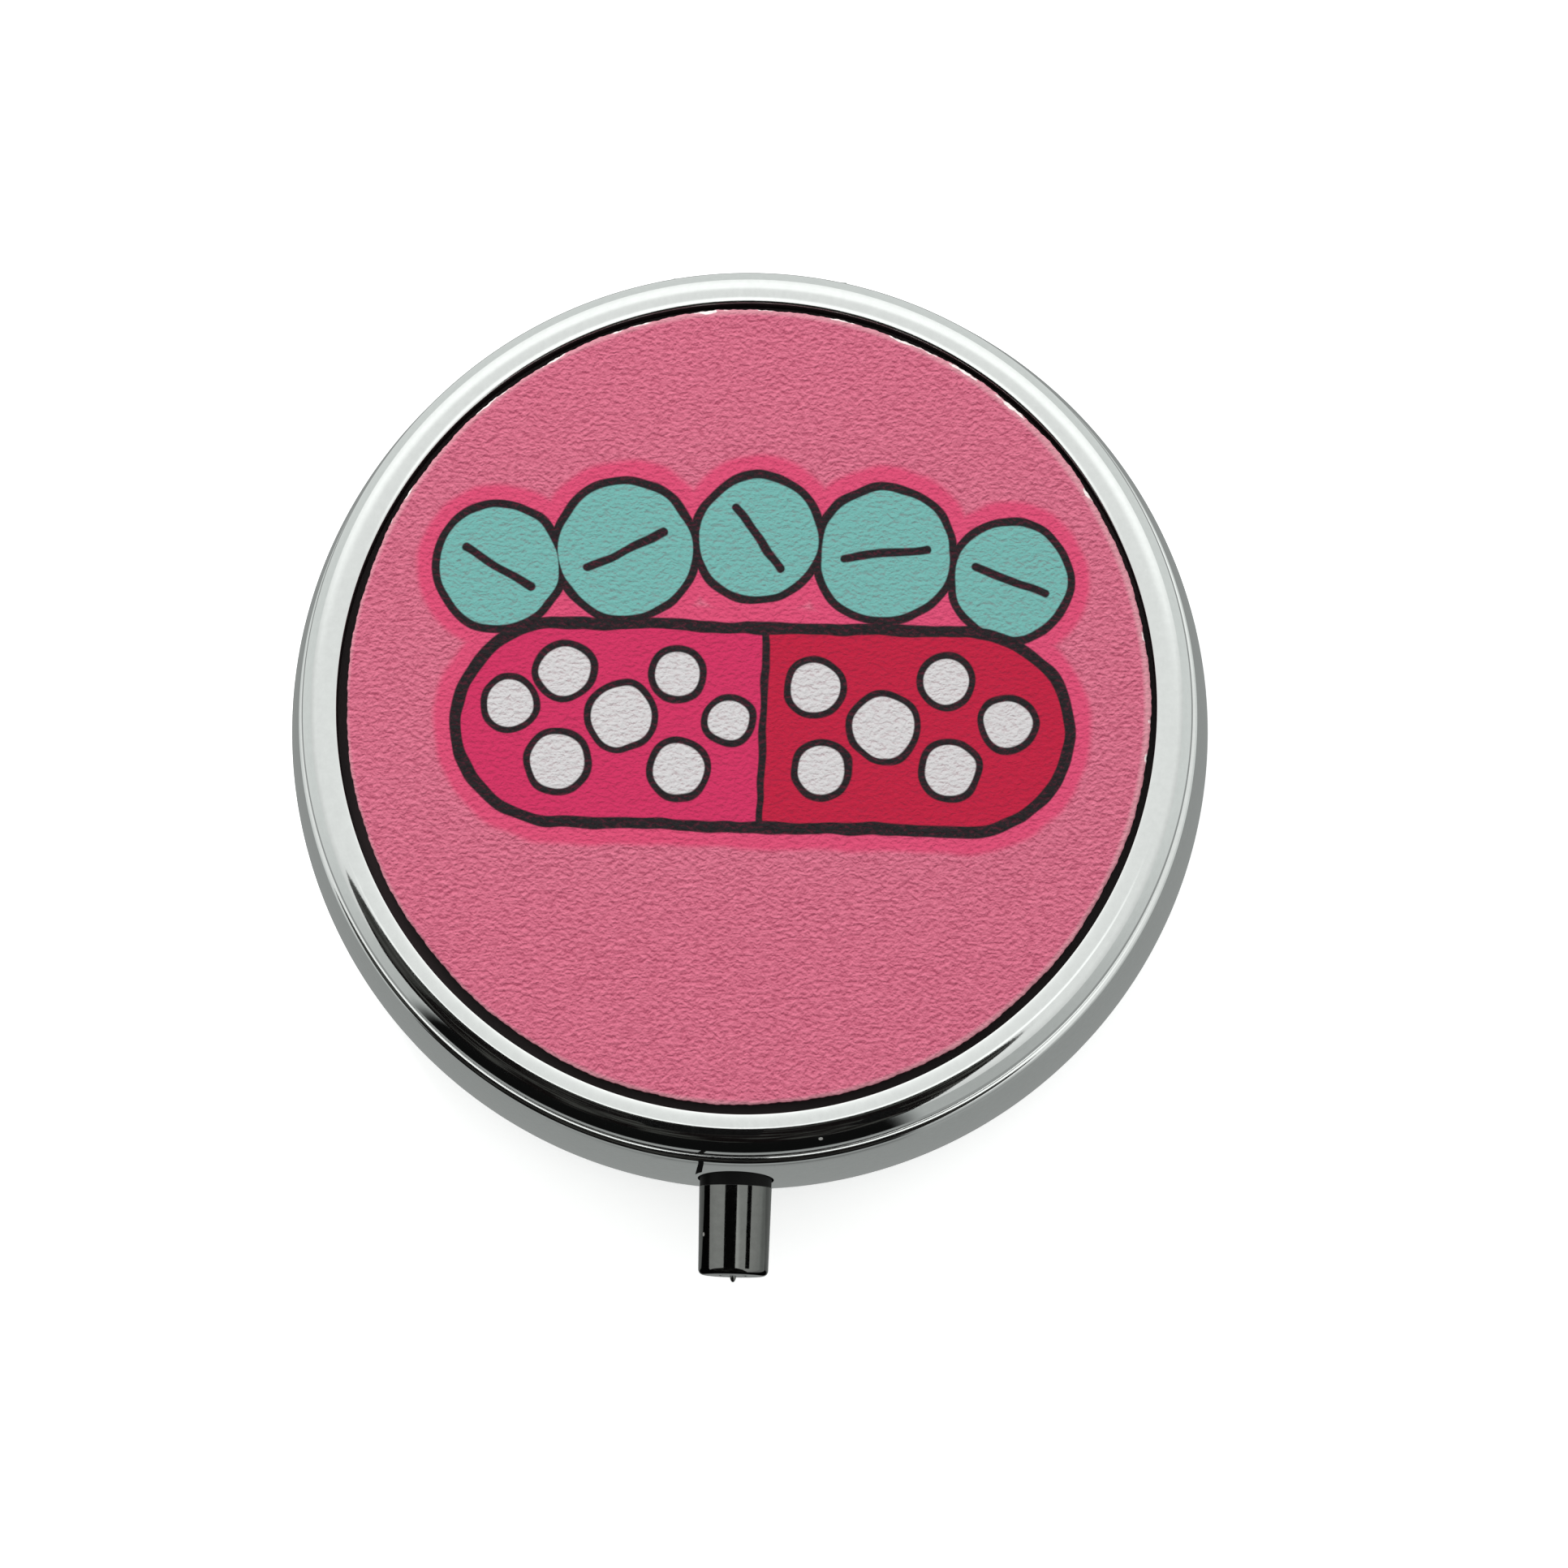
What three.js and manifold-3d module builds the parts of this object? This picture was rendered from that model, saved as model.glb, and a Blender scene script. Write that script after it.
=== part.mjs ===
// A round pocket pill box: a stamped case with a moulded three-way tray, and a hinged lid with a padded
// printed disc. A sprung push button at the front frees the lid's hook, and a spring on the hinge pin
// lifts the lid. Millimetres, +Z up. The origin is the middle of the flat underside, the button points
// along -Y and the hinge lies at +Y.
import * as THREE from "three";
import { mergeVertices } from "three/addons/utils/BufferGeometryUtils.js";
import Module from "manifold-3d";

const wasm = await Module();
wasm.setup();

// Case: a drawn cup whose wall swells out to its widest and leans in again to the rim.
const WIDEST_RADIUS = 25;
const WIDEST_HEIGHT = 5;
const CASE_HEIGHT = 11.4;
const RIM_INSET = 0.9;
const FOOT_INSET = 2.8;
const CASE_SHEET = 0.8;

// Lid: a pressed sheet with a skirt, a rounded bead and a sunk panel.
const SEAM_GAP = 0.15;
const SKIRT_INSET = 0.25;
const LID_SHEET = 0.5;
const LID_RISE = 3.3;
const BEAD_WIDTH = 2;
const SKIRT_HEIGHT = 1.3;
const LIP_DROP = 0.08;
const CROWN_SHARE = 0.36;
const PANEL_DROP = 1.35;

// Disc on the lid: a printed leathercloth face on a card, held by a sheet of glue.
const GROOVE = 0.45;
const GLUE_THICKNESS = 0.1;
const CARD_THICKNESS = 0.8;
const FACE_THICKNESS = 0.55;
const CARD_INSET = 0.3;
const FACE_ROUND = 0.12;

// Mirror inside the lid, on a foam pad.
const MIRROR_RADIUS = 17.8;
const MIRROR_THICKNESS = 0.9;
const PAD_THICKNESS = 0.3;
const PAD_INSET = 1.5;

// Tray: a moulded insert with three compartments.
const TRAY_GAP = 0.6;
const TRAY_HEIGHT = 9.6;
const TRAY_WALL = 1;
const TRAY_FLOOR = 1;
const TRAY_CHAMFER = 1.4;
const DIVIDERS = 3;
const UNDER_TRAY_GAP = 0.2;

// Hinge: five knuckles' width of barrel on one pin, with a coiled spring in the middle.
const HINGE_INSET = 1.3;
const BARREL_RADIUS = 1;
const PIN_RADIUS = 0.5;
const PIN_CLEARANCE = 0.1;
const BARREL_LENGTH = 9.6;
const OUTER_KNUCKLE = 1.7;
const INNER_KNUCKLE = 1.4;
const KNUCKLE_GAP = 0.3;
const NOTCH_CLEARANCE = 0.4;
const LEAF_SHEET = 0.5;
const CASE_LEAF_DEPTH = 4.2;
const LID_LEAF_DEPTH = 3;
const SWING_RELIEF = 0.8;

// Hinge spring.
const TORSION_TURNS = 6;
const TORSION_WIRE = 0.24;
const TORSION_CLEARANCE = 0.08;
const TORSION_LEG = 1.1;

// Button and its stem, on an axis along Y through the front wall.
const BUTTON_HEIGHT = 7.9;
const BUTTON_RADIUS = 1.95;
const BUTTON_TIP_RADIUS = 1.88;
const BUTTON_REACH = 5.1;
const BUTTON_INSIDE = 2.4;
const BUTTON_EDGE = 0.15;
const COLLAR_INSET = 0.02;
const COLLAR_PROUD = 0.35;
const BUTTON_CLEARANCE = 0.15;
const TRAVEL = 1.5;
const STEM_RADIUS = 0.65;
const STEM_CLEARANCE = 0.12;
const STEM_HEAD_RADIUS = 0.95;
const STEM_HEAD_THICKNESS = 0.3;
const PIP_RADIUS = 0.17;
const PIP_LENGTH = 0.35;
const GROOVE_RADIUS = 0.48;

// Latch: the lid's hook, the bracket that guides the stem, and the catch on the stem's inner end.
const HOOK_CLEARANCE = 0.3;
const HOOK_WIDTH = 3;
const HOOK_SHEET = 0.6;
const HOOK_FLANGE = 1.9;
const HOOK_NOSE_LENGTH = 0.55;
const HOOK_NOSE_HEIGHT = 0.55;
const HOOK_OVER_SPRING = 0.2;
const CATCH_OVERLAP = 0.3;
const CATCH_GAP = 0.15;
const CATCH_SHEET = 0.45;
const BRACKET_SHEET = 0.6;
const BRACKET_WIDTH = 4.4;
const BRACKET_FOOT = 2.2;
const BRACKET_BEHIND_HOOK = 0.35;
const CLIP_THICKNESS = 0.4;
const CLIP_RADIUS = 1.4;
const COMPRESSION_TURNS = 5;
const COMPRESSION_WIRE = 0.26;
const POCKET_CLEARANCE = 0.4;

// Pieces that lie on each other, and pieces that end next to each other.
const SEAT = 0.02;
const END_GAP = 0.1;

// How finely round shapes are faceted.
const ROUND = 60;
const SMALL_ROUND = 24;
const CURVE = 5;
const WIRE_SIDES = 6;
const STEPS_PER_TURN = 12;

// Places that several pieces share.
const rimRadius = WIDEST_RADIUS - RIM_INSET;
const footRadius = WIDEST_RADIUS - FOOT_INSET;
const skirtRadius = rimRadius - SKIRT_INSET;
const skirtBottom = CASE_HEIGHT + SEAM_GAP;
const crownTop = skirtBottom + LID_RISE;
const lipRadius = skirtRadius - BEAD_WIDTH;
const panelTop = crownTop - PANEL_DROP;
const panelUnderside = panelTop - LID_SHEET;
const underPanel = panelUnderside - SEAT;
const trayRadius = rimRadius - CASE_SHEET - TRAY_GAP;
const trayBottom = CASE_SHEET + UNDER_TRAY_GAP;
const trayTop = trayBottom + TRAY_HEIGHT;
const hinge = { y: rimRadius - HINGE_INSET, z: CASE_HEIGHT };
const boreRadius = PIN_RADIUS + PIN_CLEARANCE;
const halfBarrel = BARREL_LENGTH / 2;
const outerKnuckleStart = halfBarrel - OUTER_KNUCKLE;
const innerKnuckleEnd = outerKnuckleStart - KNUCKLE_GAP;
const innerKnuckleStart = innerKnuckleEnd - INNER_KNUCKLE;
const notchHalf = halfBarrel + NOTCH_CLEARANCE;
const skirtBehindPin = Math.sqrt(Math.max(skirtRadius ** 2 - hinge.y ** 2, 0));
const swingHalf = Math.max(skirtBehindPin, notchHalf) + NOTCH_CLEARANCE;
const buttonTip = wallRadius(BUTTON_HEIGHT) + BUTTON_REACH;
const buttonBack = wallRadius(BUTTON_HEIGHT) - BUTTON_INSIDE;
const collarEnd = wallRadius(BUTTON_HEIGHT) + COLLAR_PROUD;
const springRadius = STEM_RADIUS + STEM_CLEARANCE + COMPRESSION_WIRE;
const hookFront = buttonBack - TRAVEL - HOOK_CLEARANCE;
const hookBack = hookFront - HOOK_SHEET;
const noseTip = hookBack - HOOK_NOSE_LENGTH;
const hookBottom = BUTTON_HEIGHT + springRadius + HOOK_OVER_SPRING;
const catchLipUnderside = hookBottom + HOOK_NOSE_HEIGHT + CATCH_GAP;
const catchTop = catchLipUnderside + CATCH_SHEET;
const bracketFront = noseTip - BRACKET_BEHIND_HOOK;
const bracketBack = bracketFront - BRACKET_SHEET;
const clipFront = bracketBack - END_GAP;
const clipBack = clipFront - CLIP_THICKNESS;
const catchFront = clipBack - KNUCKLE_GAP;
const catchBack = catchFront - CATCH_SHEET;
const stemEnd = catchBack - SEAT - STEM_HEAD_THICKNESS;
const pocketHalf = BRACKET_WIDTH / 2 + POCKET_CLEARANCE;
const pocketEnd = stemEnd - TRAVEL - POCKET_CLEARANCE;

// Outer radius of the case wall at a height between its widest and its rim, on an arc of a parabola.
function wallRadius(z) {
  const rise = (z - WIDEST_HEIGHT) / (CASE_HEIGHT - WIDEST_HEIGHT);
  return WIDEST_RADIUS - RIM_INSET * rise * rise;
}

// Points on a quarter of an ellipse about a centre, from one angle to another, in degrees.
function quarter(centreR, centreZ, radiusR, radiusZ, from, to, steps = CURVE) {
  return Array.from({ length: steps + 1 }, (_, i) => {
    const angle = THREE.MathUtils.degToRad(from + ((to - from) * i) / steps);
    return [centreR + radiusR * Math.cos(angle), centreZ + radiusZ * Math.sin(angle)];
  });
}

// A body turned about Z from an outline of [radius, height] points that runs round it anticlockwise.
function turned(outline, segments = ROUND) {
  const points = outline.map(([r, z]) => new THREE.Vector2(Math.max(r, 0), z));
  const geometry = new THREE.LatheGeometry(points, segments);
  return geometry.rotateX(Math.PI / 2);
}

// A ring or a disc between two heights, with an optional hole.
function disc(radius, bottom, top, hole = 0, segments = ROUND) {
  const outline = [[hole, bottom], [radius, bottom], [radius, top], [hole, top]];
  return turned(hole ? [...outline, outline[0]] : outline, segments);
}

// A box between two corners.
function box(x0, x1, y0, y1, z0, z1) {
  const geometry = new THREE.BoxGeometry(x1 - x0, y1 - y0, z1 - z0);
  return geometry.translate((x0 + x1) / 2, (y0 + y1) / 2, (z0 + z1) / 2);
}

// A round bar along X about the hinge axis.
function barAlongX(radius, x0, x1) {
  const geometry = new THREE.CylinderGeometry(radius, radius, x1 - x0, SMALL_ROUND);
  return geometry.rotateZ(Math.PI / 2).translate((x0 + x1) / 2, hinge.y, hinge.z);
}

// A body turned about the button's axis, from an outline of [radius, distance in front of the centre].
function turnedOnButton(outline) {
  return turned(outline, SMALL_ROUND).rotateX(Math.PI / 2).translate(0, 0, BUTTON_HEIGHT);
}

// A round bar or ring on the button's axis between two distances in front of the centre.
function barOnButton(radius, back, front, hole = 0) {
  return disc(radius, back, front, hole, SMALL_ROUND).rotateX(Math.PI / 2).translate(0, 0, BUTTON_HEIGHT);
}

// A wire along a smooth path through points.
function wire(points, diameter, steps) {
  const section = new THREE.Shape();
  for (let i = 0; i < WIRE_SIDES; i += 1) {
    const angle = (i / WIRE_SIDES) * 2 * Math.PI;
    const x = (diameter / 2) * Math.cos(angle);
    const y = (diameter / 2) * Math.sin(angle);
    if (i) section.lineTo(x, y);
    else section.moveTo(x, y);
  }
  section.closePath();
  const path = new THREE.CatmullRomCurve3(points);
  return new THREE.ExtrudeGeometry(section, { steps, extrudePath: path, bevelEnabled: false });
}

// A geometry as a solid that can be cut and joined.
function solid(geometry) {
  const bare = geometry.clone();
  bare.deleteAttribute("normal");
  bare.deleteAttribute("uv");
  const merged = mergeVertices(bare, 1e-4);
  const vertProperties = Float32Array.from(merged.attributes.position.array);
  const triVerts = Uint32Array.from(merged.index.array);
  return new wasm.Manifold(new wasm.Mesh({ numProp: 3, vertProperties, triVerts }));
}

// A cut or joined solid as a geometry.
function geometryOf(body) {
  const mesh = body.getMesh();
  const positions = new Float32Array(mesh.numVert * 3);
  for (let i = 0; i < mesh.numVert; i += 1) {
    for (let axis = 0; axis < 3; axis += 1) {
      positions[i * 3 + axis] = mesh.vertProperties[i * mesh.numProp + axis];
    }
  }
  const geometry = new THREE.BufferGeometry();
  geometry.setAttribute("position", new THREE.BufferAttribute(positions, 3));
  geometry.setIndex(new THREE.BufferAttribute(Uint32Array.from(mesh.triVerts), 1));
  geometry.computeVertexNormals();
  return geometry;
}

// The drawn case, with the hole for the button, the notch for the hinge barrel, and a shallow relief that
// lets the skirt behind the pin swing down.
function caseShell() {
  const lean = Array.from({ length: CURVE }, (_, i) => {
    const z = WIDEST_HEIGHT + ((CASE_HEIGHT - WIDEST_HEIGHT) * (i + 1)) / CURVE;
    return [wallRadius(z), z];
  });
  const insideLean = lean.map(([r, z]) => [r - CASE_SHEET, z]).reverse();
  const corner = quarter(footRadius, WIDEST_HEIGHT, FOOT_INSET, WIDEST_HEIGHT, -90, 0);
  const insideDepth = WIDEST_HEIGHT - CASE_SHEET;
  const insideCorner = quarter(footRadius, WIDEST_HEIGHT, FOOT_INSET - CASE_SHEET, insideDepth, 0, -90);
  const cup = [[0, 0], ...corner, ...lean, ...insideLean, ...insideCorner, [0, CASE_SHEET]];
  const holeRadius = BUTTON_RADIUS + BUTTON_CLEARANCE;
  const hole = barOnButton(holeRadius, buttonBack - TRAVEL, WIDEST_RADIUS + 1);
  const notchBottom = hinge.z - BARREL_RADIUS - NOTCH_CLEARANCE;
  const notch = box(-notchHalf, notchHalf, lipRadius - 2, WIDEST_RADIUS + 1, notchBottom, CASE_HEIGHT + 1);
  const reliefBottom = CASE_HEIGHT - SWING_RELIEF;
  const relief = box(-swingHalf, swingHalf, lipRadius - 2, WIDEST_RADIUS + 1, reliefBottom, CASE_HEIGHT + 1);
  const pierced = solid(turned(cup)).subtract(solid(hole));
  return geometryOf(pierced.subtract(solid(notch)).subtract(solid(relief)));
}

// The pressed lid, with the notch for the hinge barrel under its bead.
function lidShell() {
  const crownRadius = lipRadius + BEAD_WIDTH * CROWN_SHARE;
  const outerRun = skirtRadius - crownRadius;
  const innerRun = crownRadius - lipRadius;
  const bendBottom = skirtBottom + SKIRT_HEIGHT;
  const bendRise = crownTop - bendBottom;
  const lipTop = crownTop - LIP_DROP;
  const insideTop = crownTop - LID_SHEET;
  const outside = [
    [0, panelUnderside],
    [lipRadius + LID_SHEET, panelUnderside],
    ...quarter(crownRadius, insideTop - LIP_DROP / 2, innerRun - LID_SHEET, LIP_DROP / 2, 180, 90, 2),
    ...quarter(crownRadius, bendBottom, outerRun - LID_SHEET, bendRise - LID_SHEET, 90, 0).slice(1),
    [skirtRadius - LID_SHEET, skirtBottom],
    [skirtRadius, skirtBottom],
    ...quarter(crownRadius, bendBottom, outerRun, bendRise, 0, 90),
    ...quarter(crownRadius, lipTop, innerRun, LIP_DROP, 90, 180, 3).slice(1),
    [lipRadius, panelTop],
    [0, panelTop],
  ];
  const notchTop = hinge.z + BARREL_RADIUS + NOTCH_CLEARANCE;
  const notchFront = lipRadius + SEAT;
  const notch = box(-notchHalf, notchHalf, notchFront, WIDEST_RADIUS + 1, skirtBottom - 1, notchTop);
  return geometryOf(solid(turned(outside)).subtract(solid(notch)));
}

// The glue sheet, the card and the leathercloth face that lie in the lid's sunk panel.
function faceGlue() {
  const radius = lipRadius - GROOVE - CARD_INSET;
  return disc(radius, panelTop + SEAT, panelTop + SEAT + GLUE_THICKNESS);
}

function faceCard() {
  const bottom = panelTop + GLUE_THICKNESS + 2 * SEAT;
  return disc(lipRadius - GROOVE - CARD_INSET, bottom, bottom + CARD_THICKNESS);
}

function faceDisc() {
  const bottom = panelTop + GLUE_THICKNESS + CARD_THICKNESS + 3 * SEAT;
  const top = bottom + FACE_THICKNESS;
  const radius = lipRadius - GROOVE;
  const edge = quarter(radius - FACE_ROUND, top - FACE_ROUND, FACE_ROUND, FACE_ROUND, 0, 90, 2);
  return turned([[0, bottom], [radius, bottom], ...edge, [0, top]]);
}

// The mirror and the foam pad that holds it under the lid's panel.
function mirrorPad() {
  return disc(MIRROR_RADIUS - PAD_INSET, underPanel - PAD_THICKNESS, underPanel);
}

function mirrorGlass() {
  const top = underPanel - PAD_THICKNESS - SEAT;
  return disc(MIRROR_RADIUS, top - MIRROR_THICKNESS, top);
}

// The moulded tray: a cup with radial dividers, and a walled pocket that leaves room for the latch.
function pillTray() {
  const cup = turned([
    [0, trayBottom],
    [trayRadius - TRAY_CHAMFER, trayBottom],
    [trayRadius, trayBottom + TRAY_CHAMFER],
    [trayRadius, trayTop],
    [0, trayTop],
  ]);
  const floor = trayBottom + TRAY_FLOOR;
  const insideRadius = trayRadius - TRAY_WALL;
  let hollow = solid(turned([
    [0, floor],
    [insideRadius - TRAY_CHAMFER, floor],
    [insideRadius, floor + TRAY_CHAMFER],
    [insideRadius, trayTop + 1],
    [0, trayTop + 1],
  ]));
  for (let i = 0; i < DIVIDERS; i += 1) {
    const divider = box(-TRAY_WALL / 2, TRAY_WALL / 2, 0, trayRadius, 0, trayTop + 2);
    hollow = hollow.subtract(solid(divider.rotateZ((i / DIVIDERS) * 2 * Math.PI)));
  }
  const wallHalf = pocketHalf + TRAY_WALL;
  const pocketWall = box(-wallHalf, wallHalf, -trayRadius, -pocketEnd + TRAY_WALL, 0, trayTop + 2);
  hollow = hollow.subtract(solid(pocketWall));
  const pocket = box(-pocketHalf, pocketHalf, -trayRadius - 1, -pocketEnd, 0, trayTop + 2);
  const barrelBottom = hinge.z - BARREL_RADIUS - NOTCH_CLEARANCE;
  const barrelFront = hinge.y - BARREL_RADIUS - NOTCH_CLEARANCE;
  const barrelRoom = box(-notchHalf, notchHalf, barrelFront, trayRadius + 1, barrelBottom, trayTop + 2);
  return geometryOf(solid(cup).subtract(hollow).subtract(solid(pocket)).subtract(solid(barrelRoom)));
}

// The case's hinge leaf: a curved tab inside the wall that carries the two outer knuckles.
function caseHingeLeaf() {
  const outer = rimRadius - CASE_SHEET - END_GAP;
  const bottom = hinge.z - BARREL_RADIUS - CASE_LEAF_DEPTH;
  const leafTop = hinge.z - BARREL_RADIUS - NOTCH_CLEARANCE;
  const ring = solid(disc(outer, bottom, hinge.z, outer - LEAF_SHEET));
  const width = solid(box(-halfBarrel, halfBarrel, 0, WIDEST_RADIUS, bottom - 1, hinge.z + 1));
  const roomForInner = outerKnuckleStart - END_GAP / 2;
  const gap = solid(box(-roomForInner, roomForInner, 0, WIDEST_RADIUS, leafTop, hinge.z + 1));
  let leaf = ring.intersect(width).subtract(gap);
  for (const side of [-1, 1]) {
    const ends = [side * outerKnuckleStart, side * halfBarrel].sort((a, b) => a - b);
    leaf = leaf.add(solid(barAlongX(BARREL_RADIUS, ...ends)));
  }
  return geometryOf(leaf.subtract(solid(barAlongX(boreRadius, -halfBarrel - 1, halfBarrel + 1))));
}

// The lid's hinge leaf: a flat plate under the panel, with two arms bent down to the inner knuckles.
function lidHingeLeaf() {
  const plateBottom = underPanel - LEAF_SHEET;
  const plateBack = hinge.y - BARREL_RADIUS - KNUCKLE_GAP;
  const plateFront = plateBack - LID_LEAF_DEPTH;
  let leaf = solid(box(-halfBarrel, halfBarrel, plateFront, plateBack, plateBottom, underPanel));
  for (const side of [-1, 1]) {
    const ends = [side * innerKnuckleStart, side * innerKnuckleEnd].sort((a, b) => a - b);
    const arm = box(...ends, plateFront, hinge.y - boreRadius, plateBottom, underPanel);
    const web = box(...ends, hinge.y - BARREL_RADIUS, hinge.y - boreRadius, hinge.z, underPanel);
    leaf = leaf.add(solid(arm)).add(solid(web)).add(solid(barAlongX(BARREL_RADIUS, ...ends)));
  }
  return geometryOf(leaf.subtract(solid(barAlongX(boreRadius, -halfBarrel, halfBarrel))));
}

// The hinge pin, as long as the barrel.
function hingePin() {
  return barAlongX(PIN_RADIUS, -halfBarrel, halfBarrel);
}

// The coiled spring on the pin: one leg down on the case's leaf, and one forward under the lid's leaf.
function hingeSpring() {
  const radius = PIN_RADIUS + TORSION_CLEARANCE + TORSION_WIRE / 2;
  const halfWidth = innerKnuckleStart - KNUCKLE_GAP - TORSION_WIRE / 2;
  const turns = TORSION_TURNS + 0.25;
  const count = Math.round(turns * STEPS_PER_TURN);
  const points = [new THREE.Vector3(-halfWidth, hinge.y + radius, hinge.z - TORSION_LEG)];
  for (let i = 0; i <= count; i += 1) {
    const angle = (i / count) * turns * 2 * Math.PI;
    const x = -halfWidth + (2 * halfWidth * i) / count;
    points.push(new THREE.Vector3(x, hinge.y + radius * Math.cos(angle), hinge.z + radius * Math.sin(angle)));
  }
  points.push(new THREE.Vector3(halfWidth, hinge.y - TORSION_LEG, hinge.z + radius));
  return wire(points, TORSION_WIRE, count + 2);
}

// The button: a plain rod with a slight taper and broken edges, bored for the stem.
function pushButton() {
  const bore = STEM_RADIUS + STEM_CLEARANCE;
  const start = collarEnd + SEAT;
  return turnedOnButton([
    [bore, start],
    [BUTTON_RADIUS, start],
    [BUTTON_TIP_RADIUS, buttonTip - BUTTON_EDGE],
    [BUTTON_TIP_RADIUS - BUTTON_EDGE, buttonTip],
    [bore, buttonTip],
    [bore, start],
  ]);
}

// The moulded collar behind the button, which slides in the hole and takes the spring's thrust.
function buttonCollar() {
  const bore = STEM_RADIUS + STEM_CLEARANCE;
  const radius = BUTTON_RADIUS - COLLAR_INSET;
  return turnedOnButton([
    [bore, buttonBack],
    [radius - BUTTON_EDGE, buttonBack],
    [radius, buttonBack + BUTTON_EDGE],
    [radius, collarEnd],
    [bore, collarEnd],
    [bore, buttonBack],
  ]);
}

// The stem: headed at its inner end, with a groove for the clip. Its outer end is flush with the button's
// end, and keeps the small pip that the lathe left.
function buttonStem() {
  return turnedOnButton([
    [0, stemEnd],
    [STEM_HEAD_RADIUS, stemEnd],
    [STEM_HEAD_RADIUS, stemEnd + STEM_HEAD_THICKNESS],
    [STEM_RADIUS, stemEnd + STEM_HEAD_THICKNESS],
    [STEM_RADIUS, clipBack - SEAT],
    [GROOVE_RADIUS, clipBack - SEAT],
    [GROOVE_RADIUS, clipFront + SEAT],
    [STEM_RADIUS, clipFront + SEAT],
    [STEM_RADIUS, buttonTip],
    [PIP_RADIUS, buttonTip],
    ...quarter(0, buttonTip, PIP_RADIUS, PIP_LENGTH, 0, 90, 3).slice(1),
  ]);
}

// The spring between the button and the bracket.
function buttonSpring() {
  const radius = STEM_RADIUS + STEM_CLEARANCE + COMPRESSION_WIRE / 2;
  const from = buttonBack - END_GAP - COMPRESSION_WIRE / 2;
  const to = bracketFront + END_GAP + COMPRESSION_WIRE / 2;
  const count = COMPRESSION_TURNS * STEPS_PER_TURN;
  const points = Array.from({ length: count + 1 }, (_, i) => {
    const angle = (i / STEPS_PER_TURN) * 2 * Math.PI;
    const y = -from + ((from - to) * i) / count;
    return new THREE.Vector3(radius * Math.cos(angle), y, BUTTON_HEIGHT + radius * Math.sin(angle));
  });
  return wire(points, COMPRESSION_WIRE, count);
}

// The clip in the stem's groove: a ring with a mouth, which stops the stem at the bracket.
function stemClip() {
  const ring = solid(barOnButton(CLIP_RADIUS, clipBack, clipFront, GROOVE_RADIUS + END_GAP));
  const mouth = GROOVE_RADIUS + END_GAP;
  const below = BUTTON_HEIGHT - 2 * CLIP_RADIUS;
  const cut = box(-mouth, mouth, -clipFront - 1, -clipBack + 1, below, BUTTON_HEIGHT);
  return geometryOf(ring.subtract(solid(cut)));
}

// The bracket: an upright on the case floor with the hole that guides the stem.
function latchBracket() {
  const half = BRACKET_WIDTH / 2;
  const bottom = CASE_SHEET + SEAT;
  const top = catchLipUnderside - HOOK_OVER_SPRING;
  const upright = solid(box(-half, half, -bracketFront, -bracketBack, bottom, top));
  const footFront = bracketFront + BRACKET_FOOT;
  const foot = solid(box(-half, half, -footFront, -bracketBack, bottom, bottom + BRACKET_SHEET));
  const bore = solid(barOnButton(STEM_RADIUS + STEM_CLEARANCE, bracketBack - 1, bracketFront + 1));
  return geometryOf(upright.add(foot).subtract(bore));
}

// The catch on the stem's inner end, whose lip reaches forward over the hook's nose.
function releaseCatch() {
  const half = HOOK_WIDTH / 2;
  const bottom = BUTTON_HEIGHT - STEM_HEAD_RADIUS - CATCH_SHEET;
  const lipTip = noseTip + CATCH_OVERLAP;
  const plate = solid(box(-half, half, -catchFront, -catchBack, bottom, catchTop));
  const lip = solid(box(-half, half, -lipTip, -catchBack, catchLipUnderside, catchTop));
  const bore = solid(barOnButton(STEM_RADIUS + STEM_CLEARANCE / 2, catchBack - 1, catchFront + 1));
  return geometryOf(plate.add(lip).subtract(bore));
}

// The lid's hook: a flange under the panel, a tab down and a nose towards the hinge.
function latchHook() {
  const half = HOOK_WIDTH / 2;
  const flangeBottom = underPanel - HOOK_SHEET;
  const flangeEnd = -hookBack + HOOK_FLANGE;
  const flange = solid(box(-half, half, -hookFront, flangeEnd, flangeBottom, underPanel));
  const tab = solid(box(-half, half, -hookFront, -hookBack, hookBottom, underPanel));
  const nose = solid(box(-half, half, -hookFront, -noseTip, hookBottom, hookBottom + HOOK_NOSE_HEIGHT));
  return geometryOf(flange.add(tab).add(nose));
}

// Finishes.
const chrome = { color: 0xc9cccd, roughness: 0.08, metalness: 1 };
const darkChrome = { color: 0x8a8f90, roughness: 0.12, metalness: 1 };
const springSteel = { color: 0x9a9c9e, roughness: 0.3, metalness: 1 };
const zincSteel = { color: 0xb1b3b2, roughness: 0.4, metalness: 1 };
const leathercloth = { color: 0xd6748b, roughness: 0.6, metalness: 0 };
const greyCard = { color: 0x8d8780, roughness: 0.9, metalness: 0 };
const glue = { color: 0xe8e4d8, roughness: 0.7, metalness: 0 };
const foam = { color: 0xf2f2f0, roughness: 0.9, metalness: 0 };
const silvered = { color: 0xe6eaec, roughness: 0.02, metalness: 1 };
const blackPlastic = { color: 0x0b0b0c, roughness: 0.35, metalness: 0 };
const whitePlastic = { color: 0xf1f1ee, roughness: 0.4, metalness: 0 };

// One named piece of the box.
function piece(name, geometry, finish) {
  const mesh = new THREE.Mesh(geometry, new THREE.MeshStandardMaterial(finish));
  mesh.name = name;
  return mesh;
}

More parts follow.
